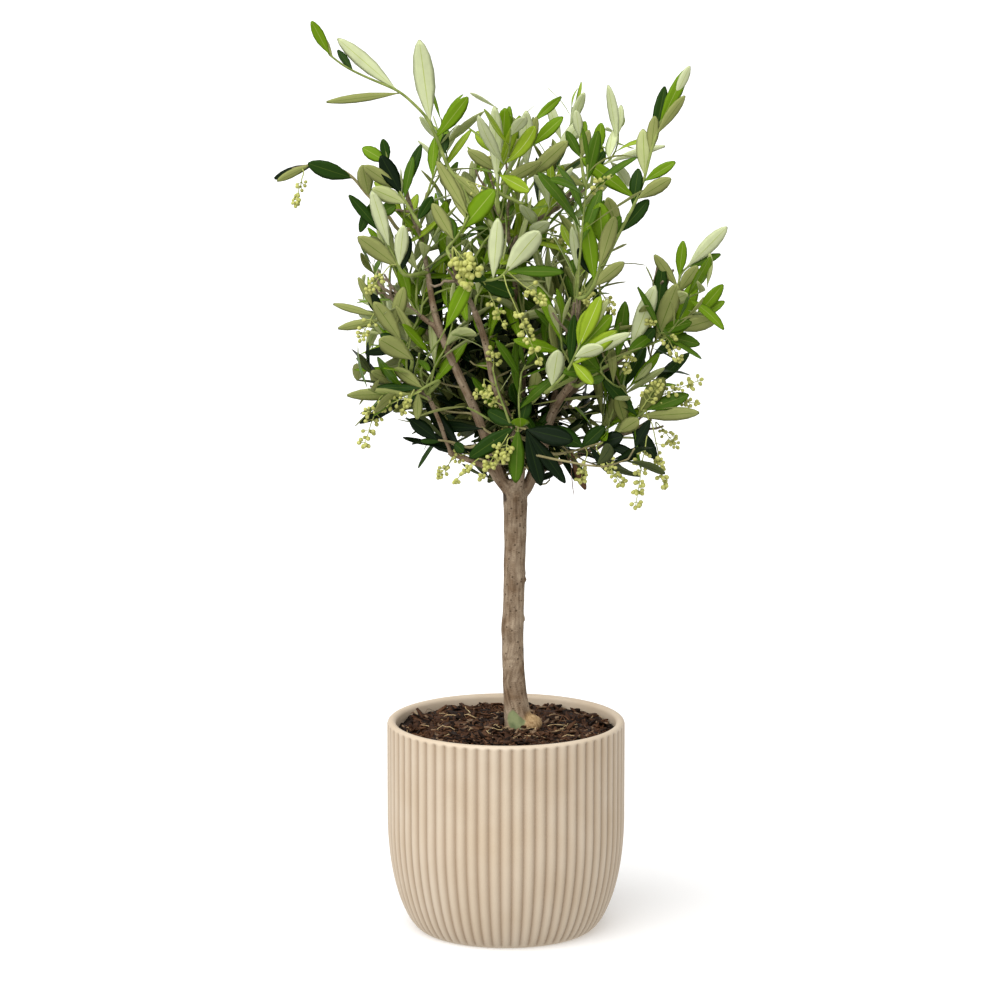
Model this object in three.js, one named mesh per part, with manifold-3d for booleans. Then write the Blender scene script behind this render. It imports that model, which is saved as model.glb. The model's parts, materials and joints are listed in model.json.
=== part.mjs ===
// A potted olive tree: a small olive grown on one clear stem, in a fluted stoneware planter.
// Millimetres, +Z up, +X to the right and +Y to the back. The origin is the centre of the planter's
// flat underside. The wood is a trunk and tapering boughs. Each mass of foliage is one closed,
// uneven solid, and the long shoots that leave the crown are slim solids of their own.
import * as THREE from "three";
import Module from "manifold-3d";
import { mergeVertices } from "three/addons/utils/BufferGeometryUtils.js";

const wasm = await Module();
wasm.setup();

// ---------- driving dimensions ----------
const GAP = 0.4; // air between neighbouring solids

const POT_RADIUS = 105; // at the crests of the flutes
const POT_HEIGHT = 188;
const POT_FOOT_RADIUS = 75; // the flat underside
const POT_BELLY = 100; // height at which the curve of the foot ends
const POT_CURVE = 0.6; // how full that curve is
const POT_WALL = 8;
const POT_FLOOR = 10;
const POT_LIP = 3.5; // radius of the rounded rim
const FLUTES = 64;
const FLUTE_DEPTH = 2.2;
const FLUTE_TOP = 178; // the flutes run out just below the rim
const FLUTE_FOOT = 4;

const SOIL_TOP = 177;
const SOIL_CROWN = 3; // the soil is heaped a little round the stem

const FORK = new THREE.Vector3(8, 0, 391);
const TRUNK_RADIUS = 9.4;
const TRUNK_FLARE = 6; // added at the soil, dying out upwards
const TRUNK_FLARE_HEIGHT = 26;
const BURL_RADIUS = 10.5; // the old graft that swells out low on the right

const BARK = { color: 0x9c8a76, roughness: 0.85, metalness: 0 };
const LEAF_DARK = { color: 0x3f5c2a, roughness: 0.6, metalness: 0 };
const LEAF_MID = { color: 0x66803d, roughness: 0.6, metalness: 0 };
const LEAF_PALE = { color: 0x8fa063, roughness: 0.65, metalness: 0 };
const STONEWARE = { color: 0xd6c3a6, roughness: 0.55, metalness: 0 };
const POTTING_MIX = { color: 0x3d2b20, roughness: 0.95, metalness: 0 };

// ---------- from geometry to solid and back ----------
function solidFrom(geometry) {
  const bare = geometry.index ? geometry.toNonIndexed() : geometry.clone();
  bare.deleteAttribute("normal");
  bare.deleteAttribute("uv");
  const merged = mergeVertices(bare, 1e-3);
  return new wasm.Manifold(
    new wasm.Mesh({
      numProp: 3,
      vertProperties: new Float32Array(merged.attributes.position.array),
      triVerts: new Uint32Array(merged.index.array),
    }),
  );
}

// The largest body of a solid, which leaves out the crumbs that a cut can make.
function mainBody(solid) {
  const bodies = solid.decompose();
  return bodies.reduce((a, b) => (b.volume() > a.volume() ? b : a));
}

function geometryFrom(solid) {
  const cut = solid.getMesh();
  const geometry = new THREE.BufferGeometry();
  geometry.setAttribute("position", new THREE.BufferAttribute(cut.vertProperties, 3));
  geometry.setIndex(new THREE.BufferAttribute(cut.triVerts, 1));
  const faceted = geometry.toNonIndexed();
  faceted.computeVertexNormals();
  return faceted;
}

function mapVertices(geometry, move) {
  const position = geometry.attributes.position;
  const point = new THREE.Vector3();
  for (let i = 0; i < position.count; i++) {
    point.fromBufferAttribute(position, i);
    move(point);
    position.setXYZ(i, point.x, point.y, point.z);
  }
  return geometry;
}

// ---------- shapes ----------
const points = (list) => list.map(([x, y, z]) => new THREE.Vector3(x, y, z));

// A round tapering body that follows a smooth curve. radiusAt gives its radius from 0 at the start
// of the curve to 1 at its end.
function loft(route, radiusAt, sides, steps) {
  const curve = new THREE.CatmullRomCurve3(route);
  const frames = curve.computeFrenetFrames(steps, false);
  const centres = curve.getSpacedPoints(steps);
  const tube = new THREE.CylinderGeometry(1, 1, 1, sides, steps);
  const side = new THREE.Vector3();
  return mapVertices(tube, (point) => {
    const along = point.y + 0.5;
    const ring = Math.round(along * steps);
    const radius = radiusAt(along);
    side.crossVectors(frames.normals[ring], frames.tangents[ring]);
    const { x, z } = point;
    point.copy(centres[ring]);
    point.addScaledVector(frames.normals[ring], x * radius);
    point.addScaledVector(side, z * radius);
  });
}

// One limb, tapering evenly from its thick end to its thin end.
const LIMB_SIDES = 6;
function limb({ route, thick, thin }, grow = 0) {
  const steps = route.length + 2;
  const radiusAt = (along) => THREE.MathUtils.lerp(thick, thin, along) + grow;
  return solidFrom(loft(points(route), radiusAt, LIMB_SIDES, steps));
}

// The lumps of a leaf mass: three crossed waves over the surface of a unit ball.
const LUMPINESS = 0.065;
function lumps(p, seed) {
  const waves =
    Math.sin(3.1 * p.x + 2.2 * p.y + seed) +
    Math.sin(4.3 * p.y - 2.7 * p.z + 2.1 * seed) +
    Math.sin(5.2 * p.z + 3.4 * p.x - 1.3 * seed);
  return 1 + LUMPINESS * waves;
}

// A rounded, uneven mass of foliage: a ball stretched to three radii, with its own lumps.
const MASS_DETAIL = 2;
function mass({ centre, radii, seed }, grow = 0) {
  const ball = new THREE.IcosahedronGeometry(1, MASS_DETAIL);
  mapVertices(ball, (p) => {
    const swell = lumps(p, seed);
    p.set(
      centre[0] + p.x * (radii[0] * swell + grow),
      centre[1] + p.y * (radii[1] * swell + grow),
      centre[2] + p.z * (radii[2] * swell + grow),
    );
  });
  return solidFrom(ball);
}

// The foliage of one long shoot: slim at the foot, widest past the middle, closing to a point.
const SHOOT_SIDES = 7;
const SHOOT_TIP = 2.5;
function shoot({ route, width }, grow = 0) {
  const steps = route.length + 2;
  const foot = 0.45 * width;
  const radiusAt = (along) => {
    const belly = Math.sin(Math.PI * Math.pow(along, 0.8));
    const ends = THREE.MathUtils.lerp(foot, SHOOT_TIP, along);
    return ends + (width - foot) * belly + grow;
  };
  return solidFrom(loft(points(route), radiusAt, SHOOT_SIDES, steps));
}

// ---------- planter and soil ----------
const POT_COLUMNS = 2 * FLUTES; // a crest and a hollow for each flute
const INNER_COLUMNS = 40; // the smooth inside needs fewer

function potOuterRadius(z) {
  const below = Math.max(0, (POT_BELLY - z) / POT_BELLY);
  const share = Math.pow(1 - below * below, POT_CURVE);
  return POT_FOOT_RADIUS + (POT_RADIUS - POT_FOOT_RADIUS) * share;
}

const outerWall = (heights) => heights.map((z) => [potOuterRadius(z), z]);
const innerWall = (heights, gap) => heights.map((z) => [potOuterRadius(z) - POT_WALL - gap, z]);

function turned(profile, columns) {
  const lathe = new THREE.LatheGeometry(
    profile.map(([r, z]) => new THREE.Vector2(r, z)),
    columns,
  );
  return lathe.rotateX(Math.PI / 2);
}

// The hollow of each flute is every second column of the outer wall, moved in.
function fluted(geometry) {
  return mapVertices(geometry, (p) => {
    const column = Math.round((Math.atan2(p.y, p.x) * POT_COLUMNS) / (2 * Math.PI));
    if (column % 2 === 0 || p.z < FLUTE_FOOT || p.z > FLUTE_TOP) return;
    const radius = Math.hypot(p.x, p.y);
    const inwards = (radius - FLUTE_DEPTH) / radius;
    p.x *= inwards;
    p.y *= inwards;
  });
}

function planter() {
  const outside = turned(
    [
      [0, 0],
      ...outerWall([0, 6, 20, 46, POT_BELLY, FLUTE_TOP - 1, FLUTE_TOP + 3]),
      [POT_RADIUS - 0.3 * POT_LIP, POT_HEIGHT - 0.3 * POT_LIP],
      [POT_RADIUS - POT_LIP, POT_HEIGHT],
      [0, POT_HEIGHT],
    ],
    POT_COLUMNS,
  );
  const mouth = POT_RADIUS - POT_WALL;
  const cavity = turned(
    [
      [0, POT_FLOOR],
      ...innerWall([POT_FLOOR, 30, POT_BELLY, POT_HEIGHT - POT_LIP], 0),
      [mouth + 0.3 * POT_LIP, POT_HEIGHT - 0.3 * POT_LIP],
      [mouth + 0.6 * POT_LIP, POT_HEIGHT + 1],
      [0, POT_HEIGHT + 1],
    ],
    INNER_COLUMNS,
  );
  return solidFrom(fluted(outside)).subtract(solidFrom(cavity));
}

function soil() {
  const wall = innerWall([POT_FLOOR + GAP, 30, POT_BELLY, SOIL_TOP], 2 * GAP);
  const top = [
    [0.55 * POT_RADIUS, SOIL_TOP + 0.5 * SOIL_CROWN],
    [0.25 * POT_RADIUS, SOIL_TOP + SOIL_CROWN],
    [0, SOIL_TOP + SOIL_CROWN],
  ];
  return solidFrom(turned([[0, POT_FLOOR + GAP], ...wall, ...top], INNER_COLUMNS));
}

// ---------- wood ----------
const SOIL_AT_STEM = SOIL_TOP + SOIL_CROWN;
const TRUNK_ROUTE = [
  [11.5, -2, SOIL_AT_STEM + GAP],
  [8.6, -1, 205],
  [6.4, 0, 235],
  [6.2, 0, 275],
  [7.4, 0, 320],
  [8.2, 0, 360],
  [FORK.x, FORK.y, FORK.z],
];

const BURL_AT = [22, -5, SOIL_AT_STEM + 5]; // the graft swelling, front right of the foot
const BURL_SHAPE = [1, 0.9, 0.85];
const FORK_SWELL = 1.6; // how much the trunk widens where the boughs part
const BURIED = 12; // the loft starts this far below the soil, and is cut off level
const TRUNK_SIDES = 12;
const TRUNK_STEPS = 12;

// A flat cut lies under the lofted trunk, because a loft's own end is square to the curve.
function levelCut(z) {
  const block = new THREE.BoxGeometry(200, 200, 100);
  return solidFrom(block.translate(0, 0, z - 50));
}

function trunk(grow = 0) {
  const flare = (z) => TRUNK_FLARE * Math.exp(-(z - SOIL_AT_STEM) / TRUNK_FLARE_HEIGHT);
  const low = SOIL_AT_STEM;
  const high = FORK.z;
  const radiusAt = (along) => {
    const swell = FORK_SWELL * Math.pow(along, 6);
    return TRUNK_RADIUS + flare(THREE.MathUtils.lerp(low, high, along)) + swell + grow;
  };
  const route = points([[12.5, -2.4, SOIL_AT_STEM - BURIED], ...TRUNK_ROUTE]);
  const stem = solidFrom(loft(route, radiusAt, TRUNK_SIDES, TRUNK_STEPS));
  const burl = new THREE.SphereGeometry(BURL_RADIUS + grow, 10, 6);
  burl.scale(...BURL_SHAPE).translate(...BURL_AT);
  return stem.add(solidFrom(burl)).subtract(levelCut(SOIL_AT_STEM + GAP));
}

// Each bough is one limb. It starts inside the wood that bears it and ends inside its own mass.
const BOUGHS = {
  bough_left: {
    into: "foliage_top_left",
    thick: 5.2,
    thin: 2.6,
    route: [[6, 0, 380], [-8, -4, 410], [-17, -8, 440], [-30, -12, 474], [-45, -15, 506],
      [-58, -16, 538], [-65, -15, 566], [-70, -12, 606]],
  },
  bough_centre: {
    into: "foliage_front_left",
    thick: 4.6,
    thin: 2.4,
    route: [[10, -2, 380], [14, -12, 418], [9, -20, 445], [-3, -28, 468], [-12, -34, 498],
      [-17, -40, 530], [-30, -48, 566], [-36, -56, 600]],
  },
  bough_right: {
    into: "foliage_front_right",
    thick: 5.6,
    thin: 3.4,
    route: [[12, 0, 380], [23, 0, 402], [32, -4, 428], [37, -10, 455], [46, -22, 478],
      [62, -42, 500]],
  },
  bough_leader: {
    into: "foliage_top_centre",
    thick: 4.8,
    thin: 2.6,
    route: [[9, 3, 380], [11, 12, 425], [14, 16, 480], [13, 15, 540], [6, 8, 590], [2, 2, 630]],
  },
  bough_back_left: {
    into: "foliage_back_left",
    thick: 4.4,
    thin: 2.4,
    route: [[5, 3, 380], [-6, 20, 415], [-24, 40, 450], [-48, 60, 482], [-62, 72, 500]],
  },
  bough_back_right: {
    into: "foliage_back_right",
    thick: 4.4,
    thin: 2.4,
    route: [[12, 3, 380], [26, 20, 418], [46, 42, 452], [70, 64, 484], [80, 74, 500]],
  },
  bough_left_low: {
    thick: 3.6,
    thin: 2.9,
    route: [[-5, -3, 404], [-20, -11, 417], [-36, -17, 425], [-50, -20, 431]],
  },
  bough_left_low_rise: {
    into: "foliage_left_low",
    thick: 2.8,
    thin: 2,
    route: [[-49, -20, 428], [-57, -20, 455], [-67, -18, 476], [-86, -12, 492]],
  },
  bough_left_side: {
    into: "foliage_left",
    thick: 2.8,
    thin: 2,
    route: [[-55, -16, 530], [-72, -12, 548], [-94, -6, 562]],
  },
  bough_right_low: {
    into: "foliage_right_low",
    thick: 3.8,
    thin: 2.4,
    route: [[16, -1, 388], [30, 3, 409], [50, 3, 419], [70, 0, 428], [96, -4, 437]],
  },
  bough_right_arm: {
    into: "foliage_right",
    thick: 3.2,
    thin: 2.2,
    route: [[39, -12, 458], [58, -6, 484], [84, -4, 500], [108, -2, 516], [122, 0, 540]],
  },
  bough_back: {
    into: "foliage_back",
    thick: 3.2,
    thin: 2.2,
    route: [[14, 16, 484], [12, 36, 520], [8, 58, 552], [6, 74, 572]],
  },
  bough_right_rise: {
    into: "foliage_top_right",
    thick: 3.2,
    thin: 2.2,
    route: [[34, -6, 436], [44, 8, 486], [56, 10, 540], [66, 6, 590], [70, 2, 620]],
  },
};

// ---------- foliage ----------
const MASSES = {
  foliage_top_left: { centre: [-82, 0, 644], radii: [52, 52, 56], seed: 1.3, leaf: LEAF_PALE },
  foliage_top_centre: { centre: [0, 0, 660], radii: [52, 58, 70], seed: 2.9, leaf: LEAF_PALE },
  foliage_top_right: { centre: [68, 2, 644], radii: [42, 52, 76], seed: 4.4, leaf: LEAF_MID },
  foliage_left: { centre: [-110, 0, 560], radii: [36, 56, 54], seed: 5.7, leaf: LEAF_MID },
  foliage_left_low: { centre: [-104, -4, 478], radii: [38, 44, 38], seed: 0.6, leaf: LEAF_MID },
  foliage_front_left: { centre: [-42, -76, 588], radii: [50, 38, 60], seed: 3.3, leaf: LEAF_MID },
  foliage_front_right: { centre: [58, -68, 544], radii: [56, 40, 70], seed: 6.1, leaf: LEAF_MID },
  foliage_front_low: { centre: [4, -46, 440], radii: [52, 34, 38], seed: 1.9, leaf: LEAF_DARK },
  foliage_right: { centre: [136, 0, 570], radii: [46, 54, 48], seed: 0.2, leaf: LEAF_PALE },
  foliage_right_low: { centre: [116, -4, 450], radii: [54, 46, 36], seed: 2.4, leaf: LEAF_DARK },
  foliage_back: { centre: [4, 88, 598], radii: [66, 44, 72], seed: 3.8, leaf: LEAF_MID },
  foliage_back_left: { centre: [-72, 80, 516], radii: [50, 44, 62], seed: 5.1, leaf: LEAF_DARK },
  foliage_back_right: { centre: [80, 82, 520], radii: [52, 46, 66], seed: 0.9, leaf: LEAF_DARK },
  foliage_back_low: { centre: [8, 62, 446], radii: [50, 34, 38], seed: 4.9, leaf: LEAF_DARK },
};

const SHOOTS = {
  shoot_top_left: {
    width: 13,
    leaf: LEAF_PALE,
    route: [[-50, 0, 676], [-57, 0, 696], [-68, 0, 721], [-90, 0, 742]],
  },
  shoot_top_left_tip: {
    width: 15,
    leaf: LEAF_PALE,
    route: [[-93, 0, 745], [-122, 0, 756], [-148, 0, 774], [-167, 0, 800]],
  },
  shoot_top_left_leaf: {
    width: 9,
    leaf: LEAF_PALE,
    route: [[-72, 0, 739], [-74, 0, 762], [-75, 0, 787]],
  },
  shoot_top_right: {
    width: 15,
    leaf: LEAF_MID,
    route: [[108, 0, 668], [122, 0, 696], [140, 0, 730], [155, 0, 762]],
  },
  shoot_left: {
    width: 11,
    leaf: LEAF_MID,
    route: [[-118, 0, 662], [-140, 0, 677], [-170, 0, 680], [-201, 0, 669]],
  },
  shoot_right: {
    width: 15,
    leaf: LEAF_PALE,
    route: [[164, -4, 588], [178, -6, 604], [191, -8, 621]],
  },
  shoot_right_side: {
    width: 14,
    leaf: LEAF_PALE,
    route: [[158, -4, 536], [172, -6, 552], [186, -8, 570]],
  },
  blossom_right_low: {
    width: 20,
    leaf: LEAF_PALE,
    route: [[132, -16, 424], [131, -20, 404], [128, -22, 379]],
  },
};

// ---------- fitting the pieces together ----------
const addNamed = (group, name, solid, looks) => {
  const made = new THREE.Mesh(geometryFrom(solid), new THREE.MeshStandardMaterial(looks));
  made.name = name;
  group.add(made);
};

const cutBy = (solid, others) => others.reduce((left, other) => left.subtract(other), solid);

// Wood: a bough is cut back from the wood made before it and from the mass that it grows into.
function wood() {
  const made = { trunk: trunk() };
  const room = { trunk: trunk(GAP) };
  for (const [name, bough] of Object.entries(BOUGHS)) {
    const ends = bough.into ? [mass(MASSES[bough.into], GAP)] : [];
    made[name] = mainBody(cutBy(limb(bough), [...Object.values(room), ...ends]));
    room[name] = limb(bough, GAP);
  }
  return { made, room };
}

// Foliage: a mass is cut back from the masses made before it, and round the wood that passes it.
const BETWEEN_MASSES = 2;
function foliage(room) {
  const made = {};
  const taken = [];
  for (const [name, spec] of Object.entries(MASSES)) {
    const passing = Object.entries(room)
      .filter(([bough]) => !BOUGHS[bough] || BOUGHS[bough].into !== name)
      .map(([, solid]) => solid);
    made[name] = mainBody(cutBy(mass(spec), [...taken, ...passing]));
    taken.push(mass(spec, BETWEEN_MASSES));
  }
  for (const [name, spec] of Object.entries(SHOOTS)) {
    made[name] = mainBody(cutBy(shoot(spec), taken));
    taken.push(shoot(spec, BETWEEN_MASSES));
  }
  return made;
}

const oliveTree = new THREE.Group();

const container = new THREE.Group();
addNamed(container, "planter", planter(), STONEWARE);
addNamed(container, "soil", soil(), POTTING_MIX);
oliveTree.add(container);

const limbs = new THREE.Group();
const timber = wood();
for (const [name, solid] of Object.entries(timber.made)) addNamed(limbs, name, solid, BARK);
oliveTree.add(limbs);

const crown = new THREE.Group();
for (const [name, solid] of Object.entries(foliage(timber.room))) {
  addNamed(crown, name, solid, (MASSES[name] ?? SHOOTS[name]).leaf);
}
oliveTree.add(crown);

export default oliveTree;
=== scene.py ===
# %% [markdown]
# A young olive tree grown as a standard: one clear leaning stem, a fork of slender boughs and a
# loose crown, in a fluted stoneware planter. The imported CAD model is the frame. Its masses of
# foliage say where the crown reaches, and this lesson grows real boughs, twigs, leaves and flower
# buds inside them. Everything is in metres. Places are worked out from the frame, apart from two
# tables of known sprays, one of leaves and one of buds. Their places were read by eye, at a guessed
# depth, and another program worked out most of the millimetres and printed them.

# %% Load the frame
import json
import math
import bpy
import numpy as np
from mathutils import Matrix, Vector, noise
from mathutils.bvhtree import BVHTree


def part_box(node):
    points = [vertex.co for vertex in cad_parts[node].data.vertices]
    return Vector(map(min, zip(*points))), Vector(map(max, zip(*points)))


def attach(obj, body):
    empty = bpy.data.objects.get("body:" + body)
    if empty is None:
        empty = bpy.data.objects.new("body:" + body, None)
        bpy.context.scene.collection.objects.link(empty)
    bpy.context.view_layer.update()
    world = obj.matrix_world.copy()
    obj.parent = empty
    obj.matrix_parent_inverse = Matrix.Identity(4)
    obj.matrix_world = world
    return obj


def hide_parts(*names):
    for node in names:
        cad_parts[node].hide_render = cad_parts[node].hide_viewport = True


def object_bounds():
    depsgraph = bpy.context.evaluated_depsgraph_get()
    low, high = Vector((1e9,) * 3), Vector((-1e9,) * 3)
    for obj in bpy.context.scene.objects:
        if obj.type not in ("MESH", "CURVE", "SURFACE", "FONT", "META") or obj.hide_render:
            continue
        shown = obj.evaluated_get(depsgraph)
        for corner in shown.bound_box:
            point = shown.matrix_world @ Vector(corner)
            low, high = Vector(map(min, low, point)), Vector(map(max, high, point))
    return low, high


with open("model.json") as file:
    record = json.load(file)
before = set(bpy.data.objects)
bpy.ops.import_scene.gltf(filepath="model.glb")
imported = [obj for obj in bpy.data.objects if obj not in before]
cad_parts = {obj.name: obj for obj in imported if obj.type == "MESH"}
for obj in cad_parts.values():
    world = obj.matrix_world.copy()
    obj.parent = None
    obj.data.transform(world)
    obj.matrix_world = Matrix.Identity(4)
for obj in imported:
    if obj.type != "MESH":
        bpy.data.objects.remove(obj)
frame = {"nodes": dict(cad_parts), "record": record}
cad_low, cad_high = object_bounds()
MM = 0.001
UP = np.array([0.0, 0.0, 1.0])
rng = np.random.default_rng(20)
print("frame:", len(frame["nodes"]), "nodes, box", tuple(cad_low), tuple(cad_high))

# %% [markdown]
# The camera stands four metres off and a little above the crown, and looks gently down, so that
# the soil shows inside the rim. A long lens keeps the planter's sides nearly parallel, as a
# catalogue view of a plant does.

# %% Camera
CAMERA_PLACE = (-0.0053, -4.0, 1.1341)
CAMERA_DROP = math.radians(10.61)
CAMERA_LENS = 167.3  # on a sensor 36 mm wide

camera = bpy.data.objects.new("camera", bpy.data.cameras.new("camera"))
camera.data.sensor_width = 36
camera.data.lens = CAMERA_LENS
camera.location = CAMERA_PLACE
camera.rotation_euler = (math.pi / 2 - CAMERA_DROP, 0, 0)
bpy.context.collection.objects.link(camera)
bpy.context.scene.camera = camera
print("camera lens", CAMERA_LENS, "mm")

# %% [markdown]
# A few small helpers carry the whole script. An operator acts on whatever is selected, so `only`
# clears the selection first. `modify` adds a modifier and applies it at once, which leaves plain
# mesh behind. `piece_from` makes a mesh from arrays, for the thousands of small joined things.

# %% Helpers for shapes
def only(*objects):
    bpy.ops.object.select_all(action="DESELECT")
    for item in objects:
        item.select_set(True)
    bpy.context.view_layer.objects.active = objects[-1]
    return objects[-1]


def modify(piece, kind, **settings):
    only(piece)
    modifier = piece.modifiers.new(kind.title(), kind)
    for name, value in settings.items():
        setattr(modifier, name, value)
    bpy.ops.object.modifier_apply(modifier=modifier.name)
    return piece


def piece_from(name, corners, faces, materials, looks=None):
    mesh = bpy.data.meshes.new(name)
    mesh.from_pydata(np.asarray(corners).tolist(), [], np.asarray(faces).tolist())
    for material in materials:
        mesh.materials.append(material)
    if looks is not None:
        mesh.polygons.foreach_set("material_index", np.asarray(looks, dtype=np.int32))
    mesh.polygons.foreach_set("use_smooth", [True] * len(mesh.polygons))
    piece = bpy.data.objects.new(name, mesh)
    bpy.context.collection.objects.link(piece)
    return piece


def corners_of(piece):
    flat = np.empty(3 * len(piece.data.vertices))
    piece.data.vertices.foreach_get("co", flat)
    return flat.reshape(-1, 3)


def set_corners(piece, corners):
    piece.data.vertices.foreach_set("co", np.asarray(corners).ravel())
    piece.data.update()


def unit(vector):
    return vector / max(np.linalg.norm(vector), 1e-12)


def triangles(piece):
    return sum(len(p.vertices) - 2 for p in piece.data.polygons)


# %% [markdown]
# Materials are built from nodes. One function adds a node, sets its properties and links or fills
# its sockets. Colours are written as the sRGB hex values that a paint chart would give, and are
# turned to linear light, which is what the shader mixes.

# %% Helpers for materials
def linear(hex_colour):
    channels = [int(hex_colour[i : i + 2], 16) / 255 for i in (1, 3, 5)]
    bent = [c / 12.92 if c <= 0.04045 else ((c + 0.055) / 1.055) ** 2.4 for c in channels]
    return (*bent, 1.0)


def add(tree, kind, inputs=None, **settings):
    made = tree.nodes.new("ShaderNode" + kind)
    for name, value in settings.items():
        setattr(made, name, value)
    for socket, value in (inputs or {}).items():
        if isinstance(value, bpy.types.NodeSocket):
            tree.links.new(value, made.inputs[socket])
        else:
            made.inputs[socket].default_value = value
    return made


def blank(name, **sockets):
    """A material with one Principled shader, whose constant sockets are set on the shader itself."""
    material = bpy.data.materials.new(name)
    material.use_nodes = True
    tree = material.node_tree
    shader = tree.nodes["Principled BSDF"]
    for socket, value in sockets.items():
        shader.inputs[socket.replace("_", " ")].default_value = value
    return material, tree, shader


def ramp(tree, factor, low, high, start=0.0, end=1.0):
    made = add(tree, "ValToRGB", {"Fac": factor})
    first, last = made.color_ramp.elements
    first.position, first.color = start, linear(low)
    last.position, last.color = end, linear(high)
    return made.outputs["Color"]


def bumped(tree, shader, height, distance, strength=1.0):
    bump = add(tree, "Bump", {"Height": height, "Distance": distance, "Strength": strength})
    tree.links.new(bump.outputs["Normal"], shader.inputs["Normal"])


# %% [markdown]
# Stoneware is a dense, buff clay fired hard. A thin matt glaze breaks on it: it runs off the
# crests of the flutes, which fire pale, and pools a little warmer in the grooves. The grooves are
# also painted darker, as painted shade where less light falls. The mesh carries how deep in a
# groove each point lies, so the colour follows the real relief. The clay's own grit is about a
# third of a millimetre, and shows as a faint roughness and speckle.

# %% Stoneware
CLAY_GRIT = 0.35 * MM
GLAZE_CLOUD = 45 * MM


def stoneware():
    material, tree, shader = blank("stoneware_matt_glaze", IOR=1.5)
    place = add(tree, "TexCoord").outputs["Object"]
    groove = add(tree, "Attribute", attribute_name="groove").outputs["Fac"]
    # Pale crest to darker groove: pooled glaze, and painted shade in the grooves.
    glaze_and_groove_shade = ramp(tree, groove, "#d8c7b0", "#a8927a")
    cloud = add(tree, "TexNoise", {"Vector": place, "Scale": 1 / GLAZE_CLOUD, "Detail": 4.0})
    tinted = ramp(tree, cloud.outputs["Fac"], "#f6f2ec", "#ffffff", 0.3, 0.7)
    glazed = add(tree, "Mix", {"Factor": 1.0, "A": glaze_and_groove_shade, "B": tinted}, data_type="RGBA",
                 blend_type="MULTIPLY")
    tree.links.new(glazed.outputs["Result"], shader.inputs["Base Color"])
    grit = add(tree, "TexNoise", {"Vector": place, "Scale": 1 / CLAY_GRIT, "Detail": 2.0})
    dull = add(tree, "MapRange", {"Value": grit.outputs["Fac"], "To Min": 0.42, "To Max": 0.58})
    tree.links.new(dull.outputs["Result"], shader.inputs["Roughness"])
    bumped(tree, shader, grit.outputs["Fac"], 0.08 * MM, 0.35)
    return material


STONEWARE = stoneware()
print("made", STONEWARE.name)

# %% [markdown]
# The planter is thrown on a wheel, so it is drawn as half of its section and spun. The section
# starts at the centre of the flat foot, climbs a full curve, close to an ellipse, to an upright
# wall, rolls over a smooth round lip and goes down inside to the floor.

# %% Section of the planter
POT_LOW, POT_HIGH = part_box("planter")
POT_RADIUS = (POT_HIGH.x - POT_LOW.x) / 2
POT_TOP = POT_HIGH.z
POT_WALL = 8 * MM
POT_FLOOR = 10 * MM
POT_FOOT = POT_RADIUS * 75 / 105
POT_BELLY = POT_TOP * 100 / 188
POT_CURVE = 0.6  # 0.5 would be a true ellipse
LIP_RADIUS = POT_WALL / 2
NECK_DEPTHS = np.array([9, 7.4, 6.2, 5.4, 4.9, 4.4]) * MM  # below the rim, closer towards the lip


def wall_radius(height):
    below = np.clip((POT_BELLY - height) / POT_BELLY, 0, 1)
    return POT_FOOT + (POT_RADIUS - POT_FOOT) * (1 - below**2) ** POT_CURVE


def pot_section():
    climb = POT_BELLY * np.linspace(0, 1, 18) ** 1.8
    wall = np.linspace(POT_BELLY, POT_TOP - 11 * MM, 8)[1:]
    neck = POT_TOP - NECK_DEPTHS
    outside = [(wall_radius(z), z) for z in (*climb, *wall, *neck)]
    turn = np.linspace(0, math.pi, 11)
    centre = POT_RADIUS - LIP_RADIUS
    lip = [(centre + LIP_RADIUS * math.cos(a), POT_TOP - LIP_RADIUS * (1 - math.sin(a))) for a in turn]
    down = np.concatenate([np.linspace(POT_TOP - 8 * MM, POT_BELLY, 5),
                           np.linspace(POT_BELLY, POT_FLOOR, 7)[1:]])
    inside = [(wall_radius(z) - POT_WALL, z) for z in down]
    return [(0, 0), (0.5 * POT_FOOT, 0), *outside, *lip, *inside, (0, POT_FLOOR)]


def pick(piece, kind, wanted):
    """Opens a mesh with only those corners, edges or faces selected that wanted() says yes to."""
    parts = ("vertices", "edges", "polygons")
    for part in parts:
        group = getattr(piece.data, part)
        group.foreach_set("select", [False] * len(group))
    for item in getattr(piece.data, kind):
        item.select = bool(wanted(item))
    bpy.context.tool_settings.mesh_select_mode = [part == kind for part in parts]
    only(piece)
    bpy.ops.object.mode_set(mode="EDIT")


def draw(points):
    """Draws a line as by hand: one corner of a plane is kept and extruded from point to point."""
    bpy.ops.object.select_all(action="DESELECT")
    bpy.ops.mesh.primitive_plane_add(size=1)
    line = bpy.context.object
    line.data.vertices[0].co = (points[0][0], 0, points[0][1])
    pick(line, "vertices", lambda corner: corner.index > 0)
    bpy.ops.mesh.delete(type="VERT")
    bpy.ops.mesh.select_all(action="SELECT")
    for (r0, z0), (r1, z1) in zip(points, points[1:]):
        bpy.ops.mesh.extrude_region_move(TRANSFORM_OT_translate={"value": (r1 - r0, 0, z1 - z0)})
    return line


section = pot_section()
print("section of", len(section), "points, rim radius", round(POT_RADIUS, 4), "m")

# %% [markdown]
# Spinning the section gives a smooth pot. The sixty-four flutes are then pressed in as a potter's
# ribbing tool would: each groove is a sharp valley between two round crests. They start under the
# smooth lip and run out at the foot. The relief is real geometry, and its depth is kept on the
# mesh for the glaze, which pools in the grooves, and for the painted shade that darkens them.

# %% Planter
FLUTES = 64
STEPS_PER_FLUTE = 10
FLUTE_DEPTH = 2.0 * MM
FLUTE_HEAD = POT_TOP - 2.2 * MM
FLUTE_FADE = 1.2 * MM
FOOT_FADE = 5 * MM


def smooth_step(value, low, high):
    share = np.clip((value - low) / (high - low), 0, 1)
    return share * share * (3 - 2 * share)


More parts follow.
